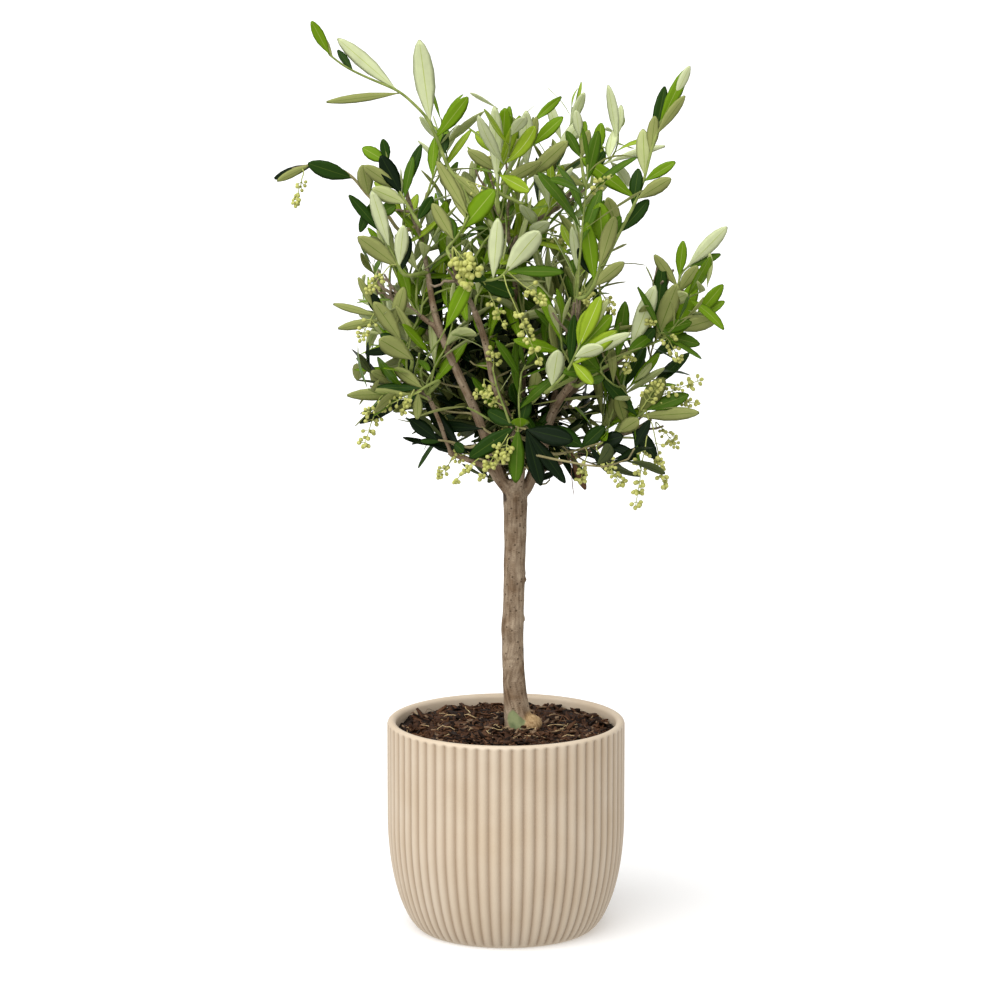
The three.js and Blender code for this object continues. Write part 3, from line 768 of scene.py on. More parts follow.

# %% [markdown]
# Some sprays give this very tree its look: the long whips that leave the crown at the top, the
# bright young cluster in front, the pale leaves at its heart. Each is written down by region and
# tint, then the places its stem runs through, in millimetres of the shared frame, then a row for
# each leaf: share along the stem, place of the tip, width, the side that looks forward, and tint.
# The places were read by eye, at a guessed depth. Another program worked out the millimetres and
# printed these rows, so they don't follow from the frame, as all other shoots do.

# %% Table of known sprays
# A leaf's tint here is also painted light and shade: night and deep are painted shade, bright and young
# painted light, partly for young growth.
SPRAYS = [
    ("top", "young",
     [(-30, -14, 642), (-37, -10, 662), (-50, -4, 676), (-57, -2, 696), (-68, 0, 721),
     (-91, 0, 743), (-122, -2, 756), (-140, -3, 765), (-152, -4, 775)], [
        (0.44, (-75, 6, 788), 19, "under", "young"),
        (0.38, (-33, -9, 739), 14, "over", "bright"),
        (0.65, (-145, 8, 788), 14, "under", "young"),
        (0.63, (-155, 0, 734), 8, "edge", "mid"),
        (0.87, (-145, 5, 778), 7, "over", "deep"),
        (1.00, (-167, -8, 804), 10, "over", "bright"),
        (0.98, (-163, 0, 796), 8, "under", "mid"),
        (0.29, (-52, 3, 706), 8, "over", "deep"),
        (0.20, (-20, -19, 652), 12, "under", "mid"),
    ]),
    ("left", "deep",
     [(-92, -8, 621), (-105, -6, 641), (-122, -4, 655), (-130, -3, 668), (-145, -2, 678),
     (-165, -1, 681), (-185, 0, 676)], [
        (0.52, (-171, -8, 681), 16, "over", "deep"),
        (0.83, (-202, -1, 668), 9, "over", "night"),
        (0.87, (-198, -5, 666), 8, "under", "mid"),
        (0.35, (-124, -12, 681), 14, "under", "mid"),
    ]),
    ("right", "bright",
     [(83, -24, 593), (95, -20, 618), (110, -15, 645), (119, -10, 667), (124, -7, 688),
     (134, -3, 721), (150, 0, 745)], [
        (0.69, (137, -1, 748), 12, "over", "deep"),
        (0.77, (155, -7, 763), 12, "over", "bright"),
        (0.72, (153, -11, 741), 10, "under", "mid"),
        (0.51, (118, -4, 711), 14, "under", "bright"),
        (0.49, (145, -16, 684), 10, "over", "bright"),
        (0.40, (142, -23, 671), 13, "under", "mid"),
        (0.40, (66, -29, 688), 14, "over", "bright"),
        (0.33, (114, -12, 678), 12, "over", "deep"),
        (0.96, (158, -4, 765), 9, "under", "young"),
        (0.64, (128, -1, 722), 11, "under", "mid"),
        (0.20, (87, -31, 656), 13, "under", "mid"),
        (0.20, (124, -11, 651), 13, "over", "deep"),
    ]),
    ("right", "mid",
     [(61, -44, 491), (75, -42, 503), (110, -36, 523), (136, -26, 531), (164, -18, 549)], [
        (1.00, (187, -22, 578), 12, "over", "bright"),
        (0.83, (183, -31, 551), 15, "under", "mid"),
        (0.72, (165, -20, 552), 12, "over", "bright"),
        (0.67, (135, -18, 597), 14, "over", "deep"),
        (0.65, (148, -37, 585), 17, "under", "mid"),
        (0.83, (163, -27, 580), 16, "over", "bright"),
        (0.49, (128, -42, 543), 12, "over", "deep"),
        (0.45, (128, -51, 582), 16, "under", "young"),
        (0.35, (103, -32, 565), 13, "over", "mid"),
        (0.95, (189, -17, 563), 10, "over", "bright"),
    ]),
    ("right", "bright",
     [(136, -26, 531), (146, -22, 548), (149, -18, 568), (149, -14, 588), (160, -12, 594)], [
        (0.97, (191, -16, 627), 14, "under", "young"),
        (0.94, (186, -9, 603), 8, "over", "mid"),
        (0.75, (153, -12, 615), 10, "over", "bright"),
        (0.61, (165, -25, 595), 12, "under", "mid"),
        (0.64, (127, -17, 604), 10, "edge", "mid"),
        (0.95, (187, -10, 623), 9, "over", "deep"),
    ]),
    ("front", "mid", [(-38, -62, 590), (-19, -80, 589), (-3, -86, 592), (2, -90, 603)], [
        (0.84, (31, -99, 642), 19, "under", "young"),
        (0.59, (-7, -86, 644), 14, "under", "young"),
        (0.91, (49, -82, 597), 11, "over", "mid"),
        (0.27, (9, -66, 575), 14, "over", "deep"),
        (0.53, (-43, -77, 598), 13, "over", "deep"),
    ]),
    ("front", "mid", [(-52, -52, 613), (-43, -62, 622), (-37, -68, 633), (-32, -70, 644)], [
        (0.62, (-10, -76, 667), 20, "over", "bright"),
        (0.38, (-50, -56, 642), 12, "over", "mid"),
        (0.92, (-46, -63, 676), 12, "under", "mid"),
        (1.00, (-59, -62, 690), 11, "under", "mid"),
        (0.28, (-63, -57, 653), 13, "under", "mid"),
    ]),
    ("top", "young", [(-6, -40, 640), (-8, -34, 662), (-6, -28, 677), (-3, -22, 693)], [
        (0.47, (-10, -37, 737), 13, "under", "young"),
        (0.69, (-33, -34, 695), 12, "under", "mid"),
        (1.00, (3, -18, 732), 10, "over", "bright"),
        (0.85, (12, -29, 705), 10, "under", "mid"),
        (0.91, (-1, -28, 732), 15, "over", "bright"),
        (0.50, (30, -40, 687), 12, "under", "mid"),
    ]),
    ("top", "young", [(18, -30, 647), (16, -26, 666), (18, -20, 685), (22, -16, 698)], [
        (0.58, (17, -27, 732), 13, "under", "young"),
        (0.90, (26, -15, 723), 8, "under", "mid"),
        (0.97, (49, -20, 723), 12, "over", "bright"),
        (0.84, (6, -15, 715), 10, "over", "mid"),
        (0.39, (54, -34, 706), 14, "under", "mid"),
    ]),
    ("top", "bright", [(68, -20, 660), (65, -14, 681), (64, -8, 698), (63, -6, 708)], [
        (0.90, (60, -10, 728), 9, "under", "young"),
        (0.84, (68, -6, 718), 8, "over", "bright"),
        (0.57, (52, -10, 710), 9, "over", "mid"),
        (0.50, (71, -16, 712), 9, "under", "mid"),
        (0.10, (40, -27, 672), 12, "under", "mid"),
    ]),
    ("top", "bright", [(73, -6, 658), (75, -4, 675), (78, -2, 688)], [
        (1.00, (82, -4, 716), 11, "over", "bright"),
        (0.93, (77, 0, 708), 8, "under", "mid"),
        (0.56, (85, -6, 692), 9, "over", "deep"),
    ]),
    ("left", "mid",
     [(-72, -36, 628), (-86, -30, 650), (-97, -26, 669), (-102, -22, 685), (-104, -20, 696)], [
        (0.42, (-107, -33, 691), 15, "over", "night"),
        (0.51, (-122, -32, 684), 13, "under", "mid"),
        (0.86, (-106, -20, 704), 9, "over", "deep"),
        (0.85, (-124, -19, 697), 12, "over", "bright"),
        (0.47, (-73, -26, 700), 10, "over", "deep"),
        (0.41, (-81, -31, 690), 9, "over", "mid"),
        (0.34, (-115, -34, 663), 14, "under", "bright"),
        (0.10, (-63, -32, 656), 10, "over", "deep"),
    ]),
    ("left", "mid",
     [(-88, -36, 587), (-98, -34, 606), (-105, -32, 622), (-111, -30, 639), (-115, -28, 652)], [
        (0.11, (-127, -39, 623), 17, "under", "mid"),
        (0.55, (-135, -29, 657), 10, "over", "deep"),
        (0.38, (-115, -39, 662), 13, "under", "young"),
        (0.81, (-95, -28, 648), 12, "over", "mid"),
        (0.97, (-126, -26, 624), 9, "over", "deep"),
        (0.14, (-88, -39, 632), 13, "under", "young"),
        (0.06, (-83, -33, 622), 10, "over", "night"),
    ]),
    ("left", "mid",
     [(-80, -40, 515), (-91, -38, 532), (-101, -36, 545), (-111, -34, 553), (-119, -32, 567)], [
        (0.26, (-113, -42, 568), 15, "under", "mid"),
        (0.00, (-110, -48, 537), 18, "under", "mid"),
        (0.75, (-149, -34, 563), 7, "edge", "mid"),
        (0.70, (-145, -37, 542), 9, "under", "mid"),
        (0.89, (-127, -33, 587), 7, "edge", "mid"),
        (0.71, (-116, -31, 572), 11, "over", "night"),
        (0.48, (-88, -35, 578), 13, "under", "mid"),
        (0.23, (-122, -37, 520), 8, "over", "night"),
        (0.17, (-109, -35, 537), 10, "over", "deep"),
    ]),
    ("left", "mid", [(-55, -30, 497), (-66, -34, 494), (-74, -36, 488), (-84, -38, 482)], [
        (0.89, (-138, -41, 486), 12, "under", "mid"),
        (1.00, (-127, -36, 459), 9, "over", "night"),
        (0.66, (-77, -40, 463), 9, "under", "mid"),
        (0.54, (-112, -30, 490), 10, "over", "deep"),
        (0.55, (-97, -31, 507), 13, "under", "mid"),
    ]),
    ("front", "deep", [(5, -30, 458), (8, -48, 459), (12, -58, 459), (17, -66, 459)], [
        (0.60, (8, -62, 411), 15, "over", "mid"),
        (0.95, (30, -68, 410), 15, "over", "night"),
        (1.00, (57, -74, 451), 18, "over", "night"),
        (0.76, (12, -70, 469), 16, "over", "bright"),
        (0.55, (-32, -55, 432), 15, "over", "deep"),
        (1.00, (51, -66, 412), 12, "over", "night"),
        (0.80, (19, -57, 486), 12, "over", "deep"),
        (0.47, (-16, -46, 472), 14, "over", "deep"),
    ]),
    ("front", "night", [(-33, -26, 435), (-44, -30, 442), (-55, -32, 443), (-59, -34, 444)], [
        (0.96, (-83, -38, 463), 13, "over", "night"),
        (0.84, (-74, -34, 443), 6, "over", "deep"),
        (0.46, (-37, -36, 434), 10, "over", "deep"),
    ]),
    ("front", "young",
     [(31, -70, 490), (39, -78, 497), (52, -84, 511), (57, -88, 523), (63, -90, 537)], [
        (0.19, (44, -85, 531), 17, "under", "young"),
        (0.96, (80, -94, 578), 14, "over", "young"),
        (0.66, (93, -94, 549), 14, "over", "young"),
        (0.71, (105, -89, 548), 12, "under", "young"),
        (0.85, (90, -85, 561), 16, "over", "bright"),
        (0.94, (70, -86, 566), 13, "over", "young"),
        (0.71, (74, -95, 503), 11, "over", "young"),
        (0.77, (83, -100, 538), 14, "under", "young"),
        (0.66, (58, -78, 560), 10, "over", "deep"),
        (1.00, (87, -88, 575), 9, "under", "bright"),
    ]),
    ("right", "mid", [(93, -30, 447), (104, -34, 456), (114, -36, 465), (121, -38, 471)], [
        (0.78, (136, -40, 501), 17, "under", "deep"),
        (0.71, (167, -42, 470), 13, "under", "mid"),
        (1.00, (158, -36, 484), 14, "over", "mid"),
        (0.50, (130, -41, 429), 14, "over", "night"),
        (0.66, (113, -44, 419), 8, "edge", "mid"),
        (0.39, (96, -36, 484), 13, "under", "deep"),
        (0.12, (115, -41, 464), 14, "under", "mid"),
        (0.71, (84, -36, 498), 12, "over", "deep"),
    ]),
    ("right", "night", [(40, -24, 429), (57, -30, 433), (71, -34, 438), (84, -38, 443)], [
        (0.32, (56, -33, 395), 7, "edge", "dry"),
        (0.36, (68, -36, 400), 9, "over", "dry"),
        (0.70, (91, -38, 415), 8, "over", "night"),
        (0.96, (112, -41, 432), 9, "over", "night"),
        (0.63, (40, -41, 455), 16, "over", "deep"),
        (0.88, (101, -42, 449), 14, "over", "night"),
        (0.50, (85, -33, 456), 14, "over", "deep"),
    ]),
    ("front", "bright", [(67, -74, 573), (75, -80, 585), (79, -82, 599), (82, -80, 618)], [
        (0.39, (68, -87, 641), 14, "over", "bright"),
        (1.00, (79, -76, 656), 20, "over", "bright"),
        (0.66, (92, -86, 646), 14, "under", "mid"),
        (0.31, (100, -86, 607), 13, "under", "mid"),
        (0.43, (61, -77, 617), 12, "over", "night"),
        (1.00, (97, -78, 645), 11, "over", "mid"),
    ]),
]
print(len(SPRAYS), "known sprays with", sum(len(rows) for *_, rows in SPRAYS), "leaves")

# %% [markdown]
# A known stem grows out of the nearest scaffold wood and passes smoothly through its places. Its
# leaves then take their direction and length from where they must end.

# %% Grow the known sprays
def evened(line, spacing=4 * MM, rounds=3):
    """The same route with evenly spaced points and its corners rounded off."""
    run = run_of(line)
    even = np.linspace(0, run[-1], max(int(run[-1] / spacing), 5))
    return softened(read_off(line, run, even), rounds)


def facing(look, along):
    across = unit(np.cross(along, UP + 0.01))
    return {"over": np.array([0, -1, 0.2]), "under": np.array([0, 1, 0.2]), "edge": across}[look]


def grow_spray(region, tint, places, rows):
    stem = evened(np.array(places) * MM)
    root = wood_points[nearest(wood_points, stem[0])]
    join = np.linspace(root, stem[0], 6)[:-1]
    whole = evened(np.vstack([join, stem]), rounds=2)
    green_routes.append((whole, taper(len(whole), 2.0 * MM, 0.9 * MM), tint))
    for share, tip, width, look, leaf_tint in rows:
        base = stem[round(share * (len(stem) - 1))]
        reach = np.array(tip) * MM - base
        face = facing(look, unit(reach)) + rng.normal(0, 0.12, 3)
        put_leaf(region, leaf_tint, base, reach, face, np.linalg.norm(reach), width * MM,
                 rng.normal(0.12, 0.12), rng.uniform(0.05, 0.2), rng.normal(0, 0.15))
        taken.append(base + 0.5 * reach)
    taken.extend(stem[::4])


taken = []
for region, tint, places, rows in SPRAYS:
    grow_spray(region, tint, places, rows)
print(len(leaves), "leaves on", len(green_routes), "known shoots")

# %% [markdown]
# Shoot tips are dropped at random through the masses, none closer to another than a set spacing,
# nor to a known spray, and only where their leaves will still end inside the foliage. Each shoot
# leaves the scaffold behind it and runs with the flow of the crown, so neighbours lie side by side
# like strands. Its tint is darker the deeper it grows, as painted shade and painted light: pale
# near the top, partly for young growth, and blackish green low down inside. Leaves that would hide
# the bare front boughs are left off, as if they had been shaded out, and a shoot that has lost its
# last leaves is cut back to the ones it kept. The random numbers start afresh here, so these draws
# don't depend on how many came before.

# %% Shoots
SHOOT_SPACING = 34 * MM
FRONT_SPACING = 44 * MM
KNOWN_SPACING = 17 * MM
LEAF_REACH = 46 * MM
SHOOT_LENGTH = 78 * MM
TRIES = 6000
CROWN_RISE = 260 * MM
CROWN_SPREAD = 150 * MM
SHOWN_BOUGHS = ("bough_left", "bough_centre", "bough_right", "bough_left_low")
CLEAR_WIDTH = 17 * MM
CROWN_LOW = np.array([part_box("foliage_left")[0][0] + 14 * MM, cad_low[1] - 10 * MM,
                      FORK[2] + 14 * MM])
CROWN_HIGH = np.array([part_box("foliage_right")[1][0] + 6 * MM, cad_high[1] + 12 * MM,
                       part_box("foliage_top_centre")[1][2] + 4 * MM])
SPUR_BOUGHS = ("bough_left", "bough_centre", "bough_right", "bough_leader")
SPUR_STEP = 3
SPUR_TOP = HEART[2] + 110 * MM
SPUR_REACH = (20, 48)  # in millimetres
BARE_TIP = 7 * MM
rng = np.random.default_rng(11)
SLOT_OF = {row["node"]: row["material_slot"] for row in frame["record"]["subparts"]}
SLOT_SHADE = {"leaf_dark": -0.16, "leaf_mid": 0.0, "leaf_pale": 0.12}
# The tints in order from painted shade to painted light.
SHADES = ("night", "deep", "mid", "bright", "young")
SPARSE = {"foliage_left": 50 * MM, "foliage_left_low": 54 * MM, "foliage_right": 44 * MM,
          "foliage_right_low": 46 * MM, "foliage_top_right": 38 * MM}
REGIONS = {
    "foliage_top_left": "top", "foliage_top_centre": "top", "foliage_top_right": "top",
    "foliage_front_left": "front", "foliage_front_right": "front", "foliage_front_low": "front",
    "foliage_left": "left", "foliage_left_low": "left",
    "foliage_right": "right", "foliage_right_low": "right",
    "foliage_back": "back", "foliage_back_left": "back", "foliage_back_right": "back",
    "foliage_back_low": "back",
}


def holder(place):
    return next((mass for mass in MASSES.values() if mass.holds(place)), None)


def drop_tips():
    boxes = np.array([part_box(node) for node in MASSES])
    low, high = boxes[:, 0].min(axis=0), boxes[:, 1].max(axis=0)
    places, owners, known = [], [], np.array(taken)
    for place in rng.uniform(low, high, (TRIES, 3)):
        if np.linalg.norm(known - place, axis=1).min() < KNOWN_SPACING:
            continue
        owner = holder(place + LEAF_REACH * flow(place))
        if owner is None or place[2] < CROWN_LOW[2] + 8 * MM:
            continue
        apart = FRONT_SPACING if place[1] < FORK[1] - 20 * MM else SHOOT_SPACING
        apart = max(apart, SPARSE.get(owner.node, 0))
        if places and np.linalg.norm(np.array(places) - place, axis=1).min() < apart:
            continue
        places.append(place)
        owners.append(owner.node)
    return np.array(places), owners


def shoot_line(end):
    gap = end - wood_points
    span = np.linalg.norm(gap, axis=1)
    ahead = flow(end)
    aligned = (gap @ ahead) / np.maximum(span, 1e-6)
    best = int(np.argmin(np.abs(span - SHOOT_LENGTH) / SHOOT_LENGTH - 0.8 * aligned))
    leave = unit(wood_headings[best] + 0.8 * unit(gap[best]))
    arrive = unit(ahead + rng.normal(0, 0.22, 3))
    return grown_curve(wood_points[best], leave, end, arrive, 9, 0.8 * MM)


def tint_of(node, place):
    """Night tint as painted shade below and inside, pale tints as painted light and young growth above
    and outside, a little to chance.
    """
    height = (place - HEART)[2] / CROWN_RISE
    edge = np.linalg.norm((place - HEART)[:2]) / CROWN_SPREAD
    shade = 0.14 + 0.6 * height + 0.25 * edge + SLOT_SHADE[SLOT_OF[node]] + rng.normal(0, 0.13)
    return SHADES[int(np.clip(shade, 0, 0.999) * len(SHADES))]


def unwanted(row):
    """Whether a leaf strays out of the crown, or hangs before a bough that shows."""
    _, _, base, along, _, length, *_ = row
    middle = base + 0.5 * length * along
    tip = base + length * along
    if (tip < CROWN_LOW).any() or (tip > CROWN_HIGH).any():
        return True
    for line in SHOWN:
        k = nearest(line[:, ::2], middle[::2])
        if np.linalg.norm(line[k, ::2] - middle[::2]) < CLEAR_WIDTH and middle[1] < line[k, 1]:
            return True
    return False


def grow_spurs(node):
    """Short shoots behind a bough, in the shade of the crown, given dark tints as painted shade."""
    line = evened(BOUGHS[node][0])
    line = line[line[:, 2] < SPUR_TOP]
    for k in range(3, len(line) - 2, SPUR_STEP):
        out = unit(np.array([rng.normal(0, 0.7), 1.0, rng.normal(0.3, 0.5)]))
        end = line[k] + rng.uniform(*SPUR_REACH) * MM * out
        stalk = grown_curve(line[k], out, end, unit(out + 0.6 * UP), 6)
        green_routes.append((stalk, taper(6, 1.1 * MM, 0.7 * MM), "night"))
        clothe("back", rng.choice(["night", "deep"], p=[0.7, 0.3]), stalk, 40 * MM, 0.95)


def cut_back(line, radii, tint):
    """A shoot without the tip that has lost its leaves."""
    leafy = [np.linalg.norm(leaf_bases - place, axis=1).min() < BARE_TIP for place in line]
    last = max((k for k, is_leafy in enumerate(leafy) if is_leafy), default=0)
    return line[:last + 1], radii[:last + 1], tint


known_leaves, known_routes = len(leaves), len(green_routes)
tip_places, tip_owners = drop_tips()
for place, node in zip(tip_places, tip_owners):
    line = shoot_line(place)
    tint = tint_of(node, place)
    clothe(REGIONS[node], tint, line, rng.uniform(50, 85) * MM, rng.normal(1, 0.08))
    green_routes.append((line, taper(9, 1.2 * MM, 0.7 * MM), tint))
for node in SPUR_BOUGHS:
    grow_spurs(node)
SHOWN = [evened(BOUGHS[node][0]) for node in SHOWN_BOUGHS]
leaves[known_leaves:] = [row for row in leaves[known_leaves:] if not unwanted(row)]
leaf_bases = np.array([row[2] for row in leaves])
cut_routes = [cut_back(*route) for route in green_routes[known_routes:]]
green_routes[known_routes:] = [route for route in cut_routes if len(route[0]) > 3]
print(len(tip_places), "shoots,", len(leaves), "leaves")

# %% [markdown]
# The leaf itself is a leathery blade with a blunt tip, widest past its middle, on a short stalk.
# It is modelled once, flat, as a grid of five strips: two on each side of a narrow midrib. The
# grid is doubled and the copy turned over for the underside, and the two are welded at the margin,
# so the blade is a closed thin body. Upper face, underside and midrib each keep their own finish.

# %% Model one flat leaf
LEAF_STRIPS = (-1.0, -0.55, -0.045, 0.045, 0.55, 1.0)
LEAF_ROWS = (0.0, 0.07, 0.22, 0.42, 0.62, 0.8, 0.93, 1.0)
UPPER, UNDER, RIB = range(3)


def model_leaf():
    bpy.ops.object.select_all(action="DESELECT")
    bpy.ops.mesh.primitive_grid_add(x_subdivisions=len(LEAF_STRIPS) - 1,
                                    y_subdivisions=len(LEAF_ROWS) - 1, size=2)
    leaf = bpy.context.object
    at = corners_of(leaf)
    column = np.round((at[:, 0] + 1) / 2 * (len(LEAF_STRIPS) - 1)).astype(int)
    row = np.round((at[:, 1] + 1) / 2 * (len(LEAF_ROWS) - 1)).astype(int)
    placed = [np.array(LEAF_STRIPS)[column], np.array(LEAF_ROWS)[row], 0 * row]
    set_corners(leaf, np.column_stack(placed))
    for face in leaf.data.polygons:
        face.material_index = RIB if abs(face.center.x) < 0.1 else UPPER
    for slot_name in ("upper", "under", "rib"):
        leaf.data.materials.append(bpy.data.materials.new("blank_" + slot_name))
    pick(leaf, "polygons", lambda face: True)
    bpy.ops.mesh.duplicate_move(TRANSFORM_OT_translate={"value": (0, 0, -1)})
    bpy.ops.mesh.flip_normals()
    bpy.ops.object.mode_set(mode="OBJECT")
    for face in leaf.data.polygons:
        if face.select and face.material_index == UPPER:
            face.material_index = UNDER
    at = corners_of(leaf)
    at[:, 2] *= (np.abs(at[:, 0]) < 0.99) & (at[:, 1] > 0.01) & (at[:, 1] < 0.99)
    set_corners(leaf, at)
    pick(leaf, "vertices", lambda corner: True)
    bpy.ops.mesh.remove_doubles(threshold=1e-4)
    bpy.ops.object.mode_set(mode="OBJECT")
    shape = corners_of(leaf)
    faces = np.array([list(p.vertices) for p in leaf.data.polygons])
    looks = np.array([p.material_index for p in leaf.data.polygons])
    bpy.data.objects.remove(leaf)
    return shape, faces, looks


leaf_shape, leaf_faces, leaf_looks = model_leaf()
print("one leaf:", len(leaf_shape), "corners,", len(leaf_faces), "faces")

# %% [markdown]
# Olive leaves are waxed above and felted below. The wax gives the upper face a soft gloss over
# dark green. The felt is a layer of tiny silver scales, which makes the underside dull and grey.
# Five tints run from the shaded inner leaves to the young tips, and one is for withered leaves.
# The five are painted shade and light: the inner tints are darker on both faces as painted shade,
# the outer ones paler as painted light, and the palest also for young growth. Each is a plain base
# colour with a faint mottle, dealt out by shoot, or leaf by leaf on the known sprays.

# %% Leaf finishes
# Upper face, underside and midrib. Night to young is one leaf painted from shade to light; dry is
# withered.
LEAF_TINTS = {
    "night": ("#0b1c06", "#4a532f", "#223310"),
    "deep": ("#233f08", "#737a40", "#44591c"),
    "mid": ("#48680f", "#989e5e", "#6c7e34"),
    "bright": ("#6c8e12", "#bac285", "#92a54a"),
    "young": ("#90aa28", "#d0d8a8", "#b6c272"),
    "dry": ("#604430", "#7e6450", "#6f5643"),
}


def leaf_finish(name, colour, roughness, **sockets):
    material, tree, shader = blank(name, Roughness=roughness, IOR=1.45, **sockets)
    place = add(tree, "TexCoord").outputs["Object"]
    mottle = add(tree, "TexNoise", {"Vector": place, "Scale": 1 / (9 * MM), "Detail": 3.0})
    share = add(tree, "MapRange", {"Value": mottle.outputs["Fac"], "To Min": 0.86, "To Max": 1.12})
    tinted = add(tree, "VectorMath", {0: linear(colour)[:3], "Scale": share.outputs["Result"]},
                 operation="SCALE")
    tree.links.new(tinted.outputs["Vector"], shader.inputs["Base Color"])
    return material


leaf_materials = []
for tint, (upper, under, rib) in LEAF_TINTS.items():
    leaf_materials.append(leaf_finish(f"leaf_wax_{tint}", upper, 0.42, Specular_IOR_Level=0.12))
    leaf_materials.append(leaf_finish(f"leaf_felt_{tint}", under, 0.8, Specular_IOR_Level=0.08))
    leaf_materials.append(leaf_finish(f"leaf_rib_{tint}", rib, 0.6, Specular_IOR_Level=0.12))
print(len(leaf_materials), "leaf finishes")

# %% [markdown]
# Now every row becomes a blade. The flat leaf is given its outline and width, folded a little
# along the midrib, bowed along its length and twisted, each by its own amounts, and set on the
# shoot. It is done with arrays, for all leaves of a region at once.

# %% Leaves to mesh
LEAF_THICKNESS = 0.4 * MM
STALK_WIDTH = 1.3 * MM
WIDEST = 0.56
BLUNT_TIP = 0.9 * MM  # half of its width
FLATTEST = 0.02  # radians of bow, because a straight blade would divide by zero
LOOKS_PER_TINT = 3


def outline(t):
    """Half of the blade's width, as a share of its widest, from stalk to blunt tip."""
    widening = np.sin(math.pi / 2 * np.clip(t / WIDEST, 0, 1)) ** 1.2
    rounding = (1 - np.clip((t - WIDEST) / (1 - WIDEST), 0, 1) ** 2.1) ** 0.62
    return np.where(t < WIDEST, widening, rounding)


def blades(rows):
    _, _, *places, length, width, arch, fold, twist = (np.array(column) for column in zip(*rows))
    base, along, face = (place[:, None, :] for place in places)
    length, width, arch, fold, twist = (size[:, None] for size in (length, width, arch, fold, twist))
    u, t, layer = leaf_shape[:, 0], leaf_shape[:, 1], leaf_shape[:, 2]
    half = np.maximum(width / 2 * outline(t), np.where(t < 0.99, STALK_WIDTH / 2, BLUNT_TIP))
    x = u * half
    z = fold * np.abs(x) * (1 - 0.35 * np.abs(u)) + layer * LEAF_THICKNESS
    turn = twist * t
    x, z = x * np.cos(turn) - z * np.sin(turn), x * np.sin(turn) + z * np.cos(turn)
    arch = np.where(np.abs(arch) < FLATTEST, FLATTEST, arch)
    bow = arch * t
    y = length * np.sin(bow) / arch + z * np.sin(bow)
    z = -length * (1 - np.cos(bow)) / arch + z * np.cos(bow)
    side = np.cross(along, face)
    return base + side * x[..., None] + along * y[..., None] + face * z[..., None]


tint_names = list(LEAF_TINTS)
region_nodes = {}
for node, region in REGIONS.items():
    region_nodes.setdefault(region, []).append(node)
for region, nodes in region_nodes.items():
    rows = [row for row in leaves if row[0] == region]
    corners = blades(rows).reshape(-1, 3)
    offsets = np.arange(len(rows))[:, None, None] * len(leaf_shape)
    faces = (leaf_faces[None] + offsets).reshape(-1, 4)
    first = np.array([LOOKS_PER_TINT * tint_names.index(row[1]) for row in rows])
    looks = (leaf_looks[None] + first[:, None]).ravel()
    crown = piece_from("leaves_" + region, corners, faces, leaf_materials, looks)
    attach(crown, "root")
    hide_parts(*nodes)
    print(crown.name, len(rows), "leaves,", triangles(crown), "triangles")

# %% [markdown]
# Young olive bark is thin, taupe grey, and finely furrowed along the limb, with small corky dots.
# The pattern follows each limb, so the mesh carries its own bark coordinates: how far a point
# stands off the centre line in two directions, and how far along the line it lies. The colour
# and the fine relief both read them. Low on the stem the old graft swells out in smooth tan
# cork, and a patch of scraped green bark shows beside it.

# %% Bark
FURROW = 2.0 * MM
FURROW_STRETCH = 0.12  # how much slower the pattern changes along the limb
CORK_DOT = 5 * MM


def bark():
    material, tree, shader = blank("young_olive_bark", Roughness=0.82, IOR=1.45,
                                   Specular_IOR_Level=0.25)
    grain = add(tree, "Attribute", attribute_name="grain").outputs["Vector"]
    place = add(tree, "TexCoord").outputs["Object"]
    furrow = add(tree, "TexNoise", {"Vector": grain, "Scale": 1 / FURROW, "Detail": 5.0,
                                    "Roughness": 0.6})
    patches = add(tree, "TexNoise", {"Vector": place, "Scale": 1 / (16 * MM), "Detail": 3.0})
    base = ramp(tree, furrow.outputs["Fac"], "#76634f", "#bca88f", 0.3, 0.7)
    cloud = ramp(tree, patches.outputs["Fac"], "#c2b5a8", "#ffffff", 0.36, 0.62)
    clouded = add(tree, "Mix", {"Factor": 1.0, "A": base, "B": cloud}, data_type="RGBA",
                  blend_type="MULTIPLY")
    dots = add(tree, "TexVoronoi", {"Vector": place, "Scale": 1 / CORK_DOT, "Randomness": 1.0})
    dot = add(tree, "MapRange", {"Value": dots.outputs["Distance"], "From Min": 0.12,
                                 "From Max": 0.24, "To Min": 0.85, "To Max": 0.0})
    dotted = add(tree, "Mix", {"Factor": dot.outputs["Result"], "A": clouded.outputs["Result"],
                               "B": linear("#4a3b2c")}, data_type="RGBA")
    cork = ramp(tree, furrow.outputs["Fac"], "#8d6f4b", "#c2a67c", 0.35, 0.65)
    burl = add(tree, "Attribute", attribute_name="burl").outputs["Fac"]
    corky = add(tree, "Mix", {"Factor": burl, "A": dotted.outputs["Result"], "B": cork},
                data_type="RGBA")
    scrape = add(tree, "Attribute", attribute_name="scrape").outputs["Fac"]
    green = ramp(tree, patches.outputs["Fac"], "#66714d", "#8b9368", 0.4, 0.6)
    scraped = add(tree, "Mix", {"Factor": scrape, "A": corky.outputs["Result"], "B": green},
                  data_type="RGBA")
    scar = add(tree, "Attribute", attribute_name="scar").outputs["Fac"]
    scarred = add(tree, "Mix", {"Factor": scar, "A": scraped.outputs["Result"],
                                "B": linear("#2e241c")}, data_type="RGBA")
    tree.links.new(scarred.outputs["Result"], shader.inputs["Base Color"])
    bumped(tree, shader, furrow.outputs["Fac"], 0.35 * MM, 0.8)
    return material


BARK = bark()
print("made", BARK.name)

